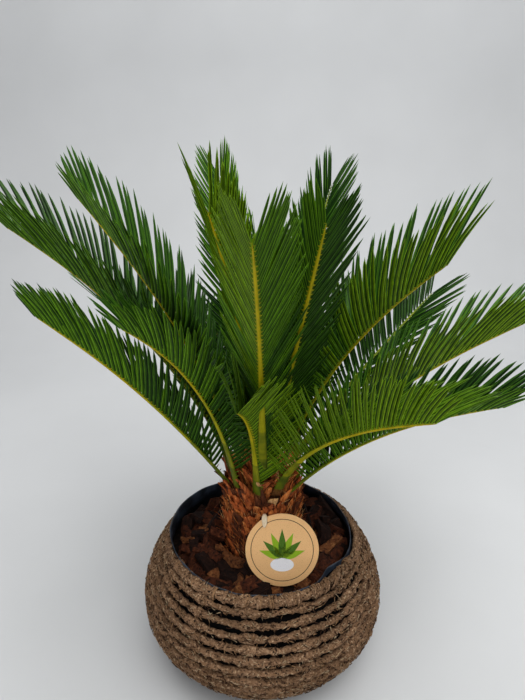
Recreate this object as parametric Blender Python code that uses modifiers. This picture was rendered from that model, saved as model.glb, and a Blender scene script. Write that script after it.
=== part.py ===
"""Sago palm in its woven basket, as separate closed solids at real size.

Metres, +Z up. The origin is the centre of the basket's flat underside.
The front, where the tag leans on the trunk, faces -Y.
"""

import math
from dataclasses import dataclass

import bmesh
import bpy
from mathutils import Vector
from mathutils.bvhtree import BVHTree

# Clearance between neighbouring solids, and how near points must be to merge
GAP = 0.0003
SCREW_MERGE = 0.00001
MESH_MERGE = 0.000001

# Basket: rows of rope from a flat foot to a narrower rim
FOOT_RADIUS = 0.070
FOOT_HEIGHT = 0.005
CURVE_START_RADIUS = 0.034
WIDEST_RADIUS = 0.1345
WIDEST_HEIGHT = 0.070
RIM_RADIUS = 0.1075
RIM_HEIGHT = 0.139
ROPE_ROWS = 15
ROPE_THICKNESS = 0.009
GROOVE_DEPTH = 0.0025
BASE_THICKNESS = 0.008
BASKET_STEPS = 28
WALL_SAMPLES = 400
INNER_POINTS = 9
END_MARGIN = 0.004
BASE_ROUNDING = 0.006

# Plastic liner inside the basket, with its lip above the rim
LINER_THICKNESS = 0.0012
LINER_LIP = 0.007

# Filling: potting soil below, bark mulch on top
SOIL_TOP = 0.112
MULCH_AT_TRUNK = 0.1300
MULCH_AT_RIM = 0.1245

# Trunk, from its flat cut on the soil to the crown that the fronds stand on
TRUNK_FOOT_RADIUS = 0.037
TRUNK_WIDEST_RADIUS = 0.0405
TRUNK_NECK_RADIUS = 0.038
TRUNK_NECK_HEIGHT = 0.204
CROWN_HEIGHT = 0.2155
CROWN_FALL = 9.0
TRUNK_RINGS = 7
RING_RELIEF = 0.0012
DOME_RADII = (0.012, 0.022, 0.030, 0.036)
TRUNK_STEPS = 20

# Fronds: a tapering rib with one pointed tooth for each group of leaflets
STATIONS = 28
BARE_STATIONS = 4
BAR_LONG_EDGE = 0.5
BAR_SIDE = 0.4
RIB_WIDTH_FOOT = 0.0056
RIB_WIDTH_TIP = 0.0026
RIB_HEIGHT_FOOT = 0.0034
RIB_HEIGHT_TIP = 0.0018
TOOTH_TIP_HEIGHT = 0.0008
SPREAD_FOOT = math.radians(72)
SPREAD_TIP = math.radians(28)
LEAFLET_KNOTS = ((0.0, 0.40), (0.12, 0.70), (0.35, 1.0), (0.75, 1.0))
TIP_BEND = 0.93
TIP_BEND_LOSS = 0.4
TOOTH_CLEARANCE = 0.0007
TOOTH_TRIALS = (1.0, 0.85, 0.7, 0.55, 0.42, 0.3, 0.2)

# Tag: a round card that leans on the trunk, held by a wooden peg
CARD_RADIUS = 0.0375
CARD_THICKNESS = 0.0012
CARD_LEAN = math.radians(19.4)
CARD_X = 0.020
CARD_Y = -0.0555
CARD_SIDES = 40
PEG_ACROSS_CARD = -0.0180
PEG_WIDTH = 0.0055
PEG_THICKNESS = 0.0018
PEG_FRONT = 0.010
PEG_DEPTH = 0.009


@dataclass(frozen=True)
class Frond:
    """One frond. Angles are degrees, lengths metres.

    heading turns about +Z from +X. rise is the rib's angle above level, at its
    foot and at its tip, and droop says how early it changes. swing turns the
    rib sideways along its length, and seat is its foot's distance from the
    trunk's axis. leaflet is the longest leaflet and tip the last one's share of
    it. spread is a factor on the leaflets' angle to the rib, fold lifts the two
    rows off the rib's side plane, and roll turns both rows about the rib.
    """

    name: str
    heading: float
    rise_foot: float
    rise_tip: float
    droop: float
    length: float
    swing: float
    seat: float
    leaflet: float
    spread: float
    fold: float
    roll: float
    tip: float


FRONDS = (
    Frond("frond_front_low", 260, 84, 29, 1.37, 0.167, -2, 0.033, 0.070, 0.92, 60, 28, 1.00),
    Frond("frond_front_tall", 270, 68, 45, 1.00, 0.352, -3, 0.020, 0.072, 0.74, 48, 2, 0.40),
    Frond("frond_front_left", 223, 79, 35, 1.43, 0.250, 2, 0.034, 0.067, 0.76, 40, 6, 0.33),
    Frond("frond_front_right", 298, 71, 26, 0.57, 0.266, 5, 0.030, 0.066, 1.00, 45, 15, 0.63),
    Frond("frond_inner_left", 247, 83, 55, 1.32, 0.313, 5, 0.012, 0.072, 0.53, 52, -2, 0.69),
    Frond("frond_inner_right", 291, 75, 54, 0.84, 0.328, -13, 0.016, 0.068, 0.68, 41, 19, 0.26),
    Frond("frond_left_upper", 215, 77, 53, 0.98, 0.338, -4, 0.021, 0.075, 0.96, 30, 25, 0.35),
    Frond("frond_left_long", 178, 81, 35, 0.68, 0.346, 5, 0.031, 0.083, 0.87, 52, 5, 0.62),
    Frond("frond_left_low", 200, 58, 41, 1.44, 0.270, -4, 0.033, 0.070, 0.80, 46, -16, 0.35),
    Frond("frond_right_upper", 327, 75, 41, 1.19, 0.297, 2, 0.019, 0.080, 1.06, 54, -15, 0.85),
    Frond("frond_right_long", 347, 58, 30, 0.99, 0.288, 1, 0.030, 0.078, 0.84, 46, 7, 0.61),
    Frond("frond_right_low", 320, 55, 25, 1.05, 0.259, 2, 0.034, 0.064, 0.88, 52, -8, 0.45),
    Frond("frond_right_back", 24, 61, 31, 0.56, 0.271, 12, 0.027, 0.074, 1.04, 40, -19, 0.46),
    Frond("frond_back_tall_left", 104, 71, 49, 0.98, 0.349, 3, 0.019, 0.076, 0.86, 57, 23, 0.52),
    Frond("frond_back_tall_right", 66, 68, 44, 1.08, 0.351, 1, 0.021, 0.080, 0.85, 56, -20, 0.48),
    Frond("frond_back_inner", 92, 81, 58, 0.98, 0.253, 3, 0.008, 0.070, 0.88, 57, -16, 0.43),
    Frond("frond_back_left", 128, 60, 30, 1.00, 0.225, 0, 0.030, 0.072, 0.92, 50, 0, 0.50),
    Frond("frond_back_low_right", 42, 64, 18, 0.90, 0.300, 0, 0.032, 0.076, 0.92, 50, 0, 0.50),
    Frond("frond_back_low_middle", 76, 62, 14, 0.90, 0.290, 0, 0.033, 0.076, 0.92, 50, 0, 0.50),
    Frond("frond_back_low_left", 108, 52, 6, 0.90, 0.250, 0, 0.033, 0.074, 0.92, 50, 0, 0.50),
    Frond("frond_back_side_left", 147, 60, 22, 0.90, 0.270, 0, 0.032, 0.076, 0.92, 50, 0, 0.50),
)


@dataclass(frozen=True)
class Station:
    """A place on a rib: its point, and its directions along, sideways and up."""

    point: Vector
    along: Vector
    side: Vector
    up: Vector


def material(name, colour, roughness):
    """A plain Principled material."""
    made = bpy.data.materials.new(name)
    made.use_nodes = True
    shader = made.node_tree.nodes["Principled BSDF"]
    shader.inputs["Base Color"].default_value = (*colour, 1)
    shader.inputs["Roughness"].default_value = roughness
    made.diffuse_color = (*colour, 1)
    return made


def collection(name):
    """A new collection in the scene."""
    made = bpy.data.collections.new(name)
    bpy.context.scene.collection.children.link(made)
    return made


def place(data, name, finish, group):
    """A new object from a mesh or a curve, with its material, in its collection."""
    obj = bpy.data.objects.new(name, data)
    obj.data.materials.append(finish)
    group.objects.link(obj)
    return obj


def turned(name, profile, steps, finish, group, ring=False):
    """A profile of (radius, height) points turned about +Z with a Screw modifier."""
    mesh = bpy.data.meshes.new(name)
    points = [(radius, 0.0, height) for radius, height in profile]
    edges = [(i, i + 1) for i in range(len(points) - 1)]
    if ring:
        edges.append((len(points) - 1, 0))
    mesh.from_pydata(points, edges, [])
    obj = place(mesh, name, finish, group)
    screw = obj.modifiers.new("turn", "SCREW")
    screw.axis = "Z"
    screw.steps = steps
    screw.render_steps = steps
    screw.use_merge_vertices = True
    screw.merge_threshold = SCREW_MERGE
    screw.use_smooth_shade = False
    return obj


def wall_radius(height):
    """The basket's outer radius: an elliptic lower curve and a parabola above."""
    if height < WIDEST_HEIGHT:
        drop = (WIDEST_HEIGHT - height) / WIDEST_HEIGHT
        return CURVE_START_RADIUS + (WIDEST_RADIUS - CURVE_START_RADIUS) * math.sqrt(1 - drop**2)
    climb = (height - WIDEST_HEIGHT) / (RIM_HEIGHT - WIDEST_HEIGHT)
    return WIDEST_RADIUS - (WIDEST_RADIUS - RIM_RADIUS) * climb**2


def wall_points(count):
    """Points from rim to foot, evenly spaced along the wall's curve, with outward normals."""
    fine = []
    for i in range(WALL_SAMPLES + 1):
        height = RIM_HEIGHT + (FOOT_HEIGHT - RIM_HEIGHT) * i / WALL_SAMPLES
        fine.append(Vector((wall_radius(height), height)))
    reach = [0.0]
    for before, after in zip(fine, fine[1:]):
        reach.append(reach[-1] + (after - before).length)
    spaced = []
    k = 0
    for i in range(count):
        target = reach[-1] * i / (count - 1)
        while k < WALL_SAMPLES - 1 and reach[k + 1] < target:
            k += 1
        share = (target - reach[k]) / (reach[k + 1] - reach[k])
        run = (fine[k + 1] - fine[k]).normalized()
        spaced.append((fine[k].lerp(fine[k + 1], share), Vector((-run.y, run.x))))
    return spaced


def inner_wall(inset, bottom, top):
    """(radius, height) points from bottom to top, at an inset from the basket's outside."""
    points = [point - normal * inset for point, normal in wall_points(INNER_POINTS)]
    inside = [(p.x, p.y) for p in reversed(points) if bottom + END_MARGIN < p.y < top - END_MARGIN]
    foot = inside[0][0] - BASE_ROUNDING
    rim = RIM_RADIUS - inset
    return [(foot, bottom), *inside, (rim, top)]


def basket_profile():
    """From the inside of the base, up the inner wall, over the rim and down the ropes."""
    inside = inner_wall(ROPE_THICKNESS, BASE_THICKNESS, RIM_HEIGHT)
    outside = []
    marks = wall_points(4 * ROPE_ROWS + 1)
    for i in range(ROPE_ROWS):
        for mark in (4 * i + 1, 4 * i + 3):
            point = marks[mark][0]
            outside.append((point.x, point.y))
        if i < ROPE_ROWS - 1:
            point, normal = marks[4 * i + 4]
            groove = point - normal * GROOVE_DEPTH
            outside.append((groove.x, groove.y))
    return [(0, BASE_THICKNESS), *inside, *outside, (FOOT_RADIUS, 0), (0, 0)]


def liner_profile():
    """A thin cup that follows the basket's inside and ends in a lip above the rim."""
    outset = ROPE_THICKNESS + GAP
    outer = inner_wall(outset, BASE_THICKNESS + GAP, RIM_HEIGHT)
    inner = inner_wall(outset + LINER_THICKNESS, BASE_THICKNESS + GAP + LINER_THICKNESS, RIM_HEIGHT)
    lip = RIM_HEIGHT + LINER_LIP
    top_outer = (outer[-1][0], lip)
    top_inner = (inner[-1][0], lip)
    start = (0, inner[0][1])
    end = (0, outer[0][1])
    return [start, *inner, top_inner, top_outer, *reversed(outer), end]


def soil_profile():
    """The filling below the mulch, with a flat top that the trunk stands on."""
    inset = ROPE_THICKNESS + LINER_THICKNESS + 2 * GAP
    bottom = BASE_THICKNESS + LINER_THICKNESS + 2 * GAP
    wall = inner_wall(inset, bottom, RIM_HEIGHT)
    below = [point for point in wall if point[1] < SOIL_TOP - END_MARGIN]
    above = next(point for point in wall if point[1] >= SOIL_TOP - END_MARGIN)
    last = below[-1]
    share = (SOIL_TOP - last[1]) / (above[1] - last[1])
    edge = last[0] + (above[0] - last[0]) * share
    return [(0, SOIL_TOP), (edge, SOIL_TOP), *reversed(below), (0, bottom)]


def mulch_height(radius):
    """The mulch's top falls evenly from the trunk to the rim."""
    share = (radius - TRUNK_FOOT_RADIUS) / (RIM_RADIUS - ROPE_THICKNESS - TRUNK_FOOT_RADIUS)
    return MULCH_AT_TRUNK + (MULCH_AT_RIM - MULCH_AT_TRUNK) * share


def mulch_profile():
    """A ring of mulch between the trunk and the liner."""
    inset = ROPE_THICKNESS + LINER_THICKNESS + 2 * GAP
    hole = TRUNK_WIDEST_RADIUS + GAP
    low = SOIL_TOP + GAP
    rim = RIM_RADIUS - inset
    return [
        (hole, mulch_height(hole)),
        (rim, mulch_height(rim)),
        (rim, low),
        (hole, low),
    ]


def crown_height(radius):
    """The trunk's domed top, which the fronds stand on."""
    return CROWN_HEIGHT - CROWN_FALL * radius**2


def trunk_profile():
    """From the crown down a swelling, ringed trunk to its flat cut on the soil."""
    low = SOIL_TOP + GAP
    dome = [(r, crown_height(r)) for r in DOME_RADII]
    sides = []
    count = 2 * TRUNK_RINGS
    for i in range(count + 1):
        share = i / count
        height = TRUNK_NECK_HEIGHT + (low - TRUNK_NECK_HEIGHT) * share
        ends = TRUNK_NECK_RADIUS + (TRUNK_FOOT_RADIUS - TRUNK_NECK_RADIUS) * share
        swell = (TRUNK_WIDEST_RADIUS - ends) * math.sin(math.pi * share)
        relief = RING_RELIEF if i % 2 else 0.0
        sides.append((ends + swell - relief, height))
    return [(0, CROWN_HEIGHT), *dome, *sides, (0, low)]


def direction(frond, share):
    """The rib's direction at a share of its length, with its side and upper directions."""
    rise = frond.rise_foot + (frond.rise_tip - frond.rise_foot) * share**frond.droop
    rise = math.radians(rise)
    heading = math.radians(frond.heading + frond.swing * share)
    along = Vector((
        math.cos(rise) * math.cos(heading),
        math.cos(rise) * math.sin(heading),
        math.sin(rise),
    ))
    up = Vector((
        -math.sin(rise) * math.cos(heading),
        -math.sin(rise) * math.sin(heading),
        math.cos(rise),
    ))
    side = along.cross(up)
    roll = math.radians(frond.roll)
    rolled_side = side * math.cos(roll) + up * math.sin(roll)
    rolled_up = up * math.cos(roll) - side * math.sin(roll)
    return along, rolled_side, rolled_up


def foot_point(frond):
    """The rib's foot, just clear of the crown at all four of its corners."""
    along, side, up = direction(frond, 0)
    heading = math.radians(frond.heading)
    centre = Vector((math.cos(heading), math.sin(heading), 0)) * frond.seat
    height = 0.0
    for across in (-0.5, 0.5):
        for over in (-0.5, 0.5):
            corner = side * across * RIB_WIDTH_FOOT + up * over * RIB_HEIGHT_FOOT
            radius = (centre + corner).to_2d().length
            height = max(height, crown_height(radius) - corner.z + GAP)
    centre.z = height
    return centre


def spine(frond):
    """The frond's stations from foot to tip."""
    point = foot_point(frond)
    stations = [Station(point, *direction(frond, 0))]
    for i in range(STATIONS):
        middle = direction(frond, (i + 0.5) / STATIONS)[0]
        point = point + middle * (frond.length / STATIONS)
        stations.append(Station(point, *direction(frond, (i + 1) / STATIONS)))
    return stations


def rib_size(share):
    """Half the rib's width and half its height at a share of its length."""
    width = RIB_WIDTH_FOOT + (RIB_WIDTH_TIP - RIB_WIDTH_FOOT) * share
    height = RIB_HEIGHT_FOOT + (RIB_HEIGHT_TIP - RIB_HEIGHT_FOOT) * share
    return width / 2, height / 2


def leaflet_share(share, tip):
    """The leaflets' length along the leafy part: short at its foot, and again at its tip."""
    bend = 1.0 - (1.0 - tip) * TIP_BEND_LOSS
    knots = (*LEAFLET_KNOTS, (TIP_BEND, bend), (1.0, tip))
    for (low, start), (high, end) in zip(knots, knots[1:]):
        if share <= high:
            return start + (end - start) * (share - low) / (high - low)
    return knots[-1][1]


@dataclass(frozen=True)
class Tooth:
    """A pointed leaflet group: its foot's middle, direction, length and half sizes."""

    foot: Vector
    run: Vector
    along: Vector
    normal: Vector
    length: float
    half_width: float
    half_height: float


def tooth_at(frond, stations, interval, side_sign):
    """The full tooth on one side of the rib, between two stations."""
    low, high = stations[interval], stations[interval + 1]
    share = (interval + 0.5) / STATIONS
    leafy = (interval + 0.5 - BARE_STATIONS) / (STATIONS - BARE_STATIONS)
    along, side, up = direction(frond, share)
    spread = (SPREAD_FOOT + (SPREAD_TIP - SPREAD_FOOT) * leafy) * frond.spread
    fold = math.radians(frond.fold)
    outward = side * side_sign * math.cos(fold) + up * math.sin(fold)
    run = along * math.cos(spread) + outward * math.sin(spread)
    half_width, half_height = rib_size(share)
    foot = (low.point + high.point) / 2 + side * side_sign * half_width
    return Tooth(
        foot=foot,
        run=run,
        along=along,
        normal=run.cross(along).normalized() * side_sign,
        length=frond.leaflet * leaflet_share(leafy, frond.tip),
        half_width=(high.point - low.point).length / 2,
        half_height=half_height,
    )


def tooth_surface(tooth, length):
    """Points and faces of the tooth made larger all round by its clearance."""
    wide = tooth.along * (tooth.half_width + TOOTH_CLEARANCE)
    tall = tooth.normal * (tooth.half_height + TOOTH_CLEARANCE)
    slim = tooth.along * (TOOTH_CLEARANCE * 2)
    low = tooth.normal * (TOOTH_TIP_HEIGHT / 2 + TOOTH_CLEARANCE)
    end = tooth.foot + tooth.run * (length + TOOTH_CLEARANCE)
    start = tooth.foot
    points = [start - wide - tall, start + wide - tall, start + wide + tall, start - wide + tall]
    points += [end - slim - low, end + slim - low, end + slim + low, end - slim + low]
    faces = [(0, 1, 2, 3), (7, 6, 5, 4)]
    faces += [(i, i + 4, (i + 1) % 4 + 4, (i + 1) % 4) for i in range(4)]
    return points, faces


def fitted_length(tooth, obstacles):
    """The longest of the trial lengths that touches no obstacle, or 0."""
    for trial in TOOTH_TRIALS:
        length = tooth.length * trial
        own = BVHTree.FromPolygons(*tooth_surface(tooth, length))
        if not any(own.overlap(other) for other in obstacles):
            return length
    return 0.0


def rib_mesh():
    """A bar along +Y from 0 to STATIONS, cut into stations, as a bmesh."""
    bar = bmesh.new()
    bmesh.ops.create_cube(bar, size=1)
    spans = ((edge, abs(edge.verts[0].co.y - edge.verts[1].co.y)) for edge in bar.edges)
    long_edges = [edge for edge, span in spans if span > BAR_LONG_EDGE]
    bmesh.ops.subdivide_edges(bar, edges=long_edges, cuts=STATIONS - 1, use_grid_fill=True)
    for vert in bar.verts:
        vert.co.y = (vert.co.y + 0.5) * STATIONS
    return bar


def bent_rib(frond, stations):
    """The rib alone, bent to its arch, with its flat coordinates kept by vertex."""
    bar = rib_mesh()
    for vert in bar.verts:
        index = round(vert.co.y)
        half_width, half_height = rib_size(index / STATIONS)
        station = stations[index]
        across = math.copysign(half_width, vert.co.x)
        over = math.copysign(half_height, vert.co.z)
        vert.co = station.point + station.side * across + station.up * over
    return bar


def blade(frond, stations, obstacles):
    """The whole frond: its rib with a pointed tooth on each side face that has room."""
    bar = rib_mesh()
    teeth = {}
    faces = []
    for face in list(bar.faces):
        middle = face.calc_center_median()
        interval = math.floor(middle.y)
        if abs(middle.x) < BAR_SIDE or interval < BARE_STATIONS or interval >= STATIONS:
            continue
        side_sign = math.copysign(1, middle.x)
        tooth = tooth_at(frond, stations, interval, side_sign)
        length = fitted_length(tooth, obstacles)
        if length:
            teeth[(interval, side_sign)] = (tooth, length)
            faces.append(face)
    grown = bmesh.ops.extrude_discrete_faces(bar, faces=faces)["faces"]
    ends = {}
    merged = {}
    for face in grown:
        middle = face.calc_center_median()
        key = (math.floor(middle.y), math.copysign(1, middle.x))
        for over in (-1, 1):
            pair = [v for v in face.verts if v.co.z * over > 0]
            merged[pair[1]] = pair[0]
            ends[pair[0]] = (key, over)
    bmesh.ops.weld_verts(bar, targetmap=merged)
    for vert in bar.verts:
        if vert in ends:
            key, over = ends[vert]
            tooth, length = teeth[key]
            lift = tooth.normal * over * TOOTH_TIP_HEIGHT / 2
            vert.co = tooth.foot + tooth.run * length + lift
            continue
        index = round(vert.co.y)
        half_width, half_height = rib_size(index / STATIONS)
        station = stations[index]
        across = math.copysign(half_width, vert.co.x)
        over = math.copysign(half_height, vert.co.z)
        vert.co = station.point + station.side * across + station.up * over
    return bar


def tree_of(obj):
    """A search tree of an object's evaluated mesh in world space."""
    bpy.context.view_layer.update()
    graph = bpy.context.evaluated_depsgraph_get()
    mesh = bpy.data.meshes.new_from_object(obj.evaluated_get(graph))
    mesh.transform(obj.matrix_world)
    shape = bmesh.new()
    shape.from_mesh(mesh)
    tree = BVHTree.FromBMesh(shape)
    shape.free()
    bpy.data.meshes.remove(mesh)
    return tree


def build_fronds(finish, group, solids):
    """Every frond in turn, each clear of the solids, of all ribs and of earlier fronds."""
    spines = {frond.name: spine(frond) for frond in FRONDS}
    ribs = {}
    for frond in FRONDS:
        bar = bent_rib(frond, spines[frond.name])
        ribs[frond.name] = BVHTree.FromBMesh(bar)
        bar.free()
    blades = []
    for frond in FRONDS:
        others = [tree for name, tree in ribs.items() if name != frond.name]
        bar = blade(frond, spines[frond.name], others + blades + solids)
        blades.append(BVHTree.FromBMesh(bar))
        mesh = bpy.data.meshes.new(frond.name)
        bar.to_mesh(mesh)
        bar.free()
        place(mesh, frond.name, finish, group)


def card_centre():
    """The card's centre, with its lower edge just clear of the mulch."""
    foot_y = CARD_Y - CARD_RADIUS * math.sin(CARD_LEAN)
    ground = mulch_height(math.hypot(CARD_X, foot_y))
    half_edge = CARD_THICKNESS / 2 * math.sin(CARD_LEAN)
    height = ground + GAP + half_edge + CARD_RADIUS * math.cos(CARD_LEAN)
    return Vector((CARD_X, CARD_Y, height))


def build_card(finish, group):
    """The round card, leaning back towards the trunk."""
    bpy.ops.mesh.primitive_cylinder_add(
        vertices=CARD_SIDES,
        radius=CARD_RADIUS,
        depth=CARD_THICKNESS,
        location=card_centre(),
        rotation=(math.pi / 2 - CARD_LEAN, 0, 0),
    )
    card = bpy.context.active_object
    card.name = "tag_card"
    card.data.materials.append(finish)
    for owner in list(card.users_collection):
        owner.objects.unlink(card)
    group.objects.link(card)
    return card


def peg_outline(clearance):
    """The peg from the side: a stick behind the card, hooked over its edge.

    x is the distance behind the card's middle plane and y the height along the
    card from its centre.
    """
    edge = math.sqrt(CARD_RADIUS**2 - (abs(PEG_ACROSS_CARD) - PEG_WIDTH / 2) ** 2)
    slot = CARD_THICKNESS / 2 + GAP
    back = slot + PEG_THICKNESS
    top = edge + GAP + PEG_THICKNESS
    foot = -(CARD_RADIUS + PEG_DEPTH)
    c = clearance
    return [
        (back + c, foot - c),
        (back + c, top + c),
        (-back - c, top + c),
        (-back - c, edge - PEG_FRONT - c),
        (-slot + c, edge - PEG_FRONT - c),
        (-slot + c, edge + GAP - c),
        (slot - c, edge + GAP - c),
        (slot - c, foot - c),
    ]


def peg_solid(name, clearance, finish, group):
    """The peg as an extruded outline, or a slightly larger one to cut with."""
    curve = bpy.data.curves.new(name, "CURVE")
    curve.dimensions = "2D"
    curve.fill_mode = "BOTH"
    curve.extrude = PEG_WIDTH / 2 + clearance
    outline = peg_outline(clearance)
    spline = curve.splines.new("POLY")
    spline.points.add(len(outline) - 1)
    spline.use_cyclic_u = True
    for point, (behind, along) in zip(spline.points, outline):
        point.co = (behind, along, 0, 1)
    shape = place(curve, name, finish, group)
    graph = bpy.context.evaluated_depsgraph_get()
    mesh = bpy.data.meshes.new_from_object(shape.evaluated_get(graph))
    bpy.data.objects.remove(shape)
    work = bmesh.new()
    work.from_mesh(mesh)
    bmesh.ops.remove_doubles(work, verts=work.verts, dist=MESH_MERGE)
    bmesh.ops.recalc_face_normals(work, faces=work.faces)
    centre = card_centre()
    back = Vector((0, math.cos(CARD_LEAN), -math.sin(CARD_LEAN)))
    upward = Vector((0, math.sin(CARD_LEAN), math.cos(CARD_LEAN)))
    across = Vector((1, 0, 0))
    for vert in work.verts:
        x, y, z = vert.co
        vert.co = centre + across * (PEG_ACROSS_CARD + z) + back * x + upward * y
    bmesh.ops.recalc_face_normals(work, faces=work.faces)
    work.to_mesh(mesh)
    work.free()
    return place(mesh, name, finish, group)


def cut(obj, cutter):
    """A Boolean difference that stays on the object."""
    modifier = obj.modifiers.new("peg_hole", "BOOLEAN")
    modifier.operation = "DIFFERENCE"
    modifier.solver = "EXACT"
    modifier.object = cutter


def main():
    """Clears the scene and models the plant and its pot."""
    for obj in list(bpy.data.objects):
        bpy.data.objects.remove(obj, do_unlink=True)
    plant = collection("sago_palm")
    cutters = collection("cutters")

    rope = material("rope", (0.27, 0.20, 0.13), 0.9)
    plastic = material("liner", (0.02, 0.025, 0.035), 0.4)
    earth = material("soil", (0.06, 0.04, 0.03), 0.95)
    bark = material("mulch", (0.16, 0.07, 0.04), 0.8)
    fibre = material("trunk", (0.33, 0.17, 0.08), 0.9)
    leaf = material("leaf", (0.09, 0.22, 0.03), 0.4)
    paper = material("card", (0.62, 0.45, 0.27), 0.8)
    wood = material("peg", (0.70, 0.58, 0.42), 0.7)

    basket = turned("basket", basket_profile(), BASKET_STEPS, rope, plant)
    turned("liner", liner_profile(), BASKET_STEPS, plastic, plant)
    turned("soil", soil_profile(), BASKET_STEPS, earth, plant)
    mulch = turned("bark_mulch", mulch_profile(), BASKET_STEPS, bark, plant, ring=True)
    trunk = turned("trunk", trunk_profile(), TRUNK_STEPS, fibre, plant)
    card = build_card(paper, plant)
    peg = peg_solid("tag_peg", 0.0, wood, plant)

    hole = peg_solid("peg_hole", GAP, wood, cutters)
    hole.hide_render = True
    hole.display_type = "WIRE"
    cut(mulch, hole)

    build_fronds(leaf, plant, [tree_of(obj) for obj in (basket, trunk, card, peg)])


main()
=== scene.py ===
"""Looks of the potted sago palm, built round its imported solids.

Metres, +Z up, the front facing -Y. The fronds follow the solids' own rule,
written again here, with each pointed tooth replaced by fine leaflets.
"""

import logging
import math
import random
from dataclasses import dataclass, field
from enum import Enum, IntEnum

import bmesh
import bpy
import numpy as np
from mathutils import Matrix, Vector


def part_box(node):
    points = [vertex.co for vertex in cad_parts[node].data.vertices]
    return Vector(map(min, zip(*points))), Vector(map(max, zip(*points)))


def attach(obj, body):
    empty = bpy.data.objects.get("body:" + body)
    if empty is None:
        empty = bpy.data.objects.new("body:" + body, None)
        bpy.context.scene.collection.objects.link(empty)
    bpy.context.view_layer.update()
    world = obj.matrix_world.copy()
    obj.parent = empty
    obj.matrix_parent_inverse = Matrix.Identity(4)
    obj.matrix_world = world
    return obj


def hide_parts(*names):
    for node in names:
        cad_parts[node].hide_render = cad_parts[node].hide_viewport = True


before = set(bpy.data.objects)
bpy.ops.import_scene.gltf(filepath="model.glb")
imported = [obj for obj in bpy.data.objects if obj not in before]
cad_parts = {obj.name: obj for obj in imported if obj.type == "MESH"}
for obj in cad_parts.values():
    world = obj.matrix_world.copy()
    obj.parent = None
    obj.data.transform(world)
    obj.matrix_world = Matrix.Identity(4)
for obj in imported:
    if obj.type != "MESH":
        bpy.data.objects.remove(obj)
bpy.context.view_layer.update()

LOG = logging.getLogger("sago_palm")
BODY = "root"
GOLDEN_ANGLE = math.pi * (3 - math.sqrt(5))
UP = np.array([0.0, 0.0, 1.0])
PHASE_RANGE = 6.28
GRAIN_STOPS = (0.34, 0.46, 0.56, 0.70)
CLOUD_STOPS = ((0.3, (0.62, 0.60, 0.58)), (0.7, (1.0, 1.0, 1.0)))
HAIR_SECTION = np.array([(1, -0.5), (-1, -0.5), (0, 1)])

Triple = tuple[float, float, float]
Colour = Triple
Display = tuple[int, int, int]
Piece = bpy.types.Object
Material = bpy.types.Material
Socket = bpy.types.NodeSocket


def rgb(red: int, green: int, blue: int) -> Colour:
    """Turns a display colour into the linear one that a shader takes.

    Args:
        red: Red from 0 to 255.
        green: Green from 0 to 255.
        blue: Blue from 0 to 255.

    Returns:
        The linear colour, each channel from 0 to 1.
    """

    def linear(value: int) -> float:
        """One channel."""
        share = value / 255
        return share / 12.92 if share <= 0.04045 else ((share + 0.055) / 1.055) ** 2.4

    return linear(red), linear(green), linear(blue)


# ---------------------------------------------------------------- finishes


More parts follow.
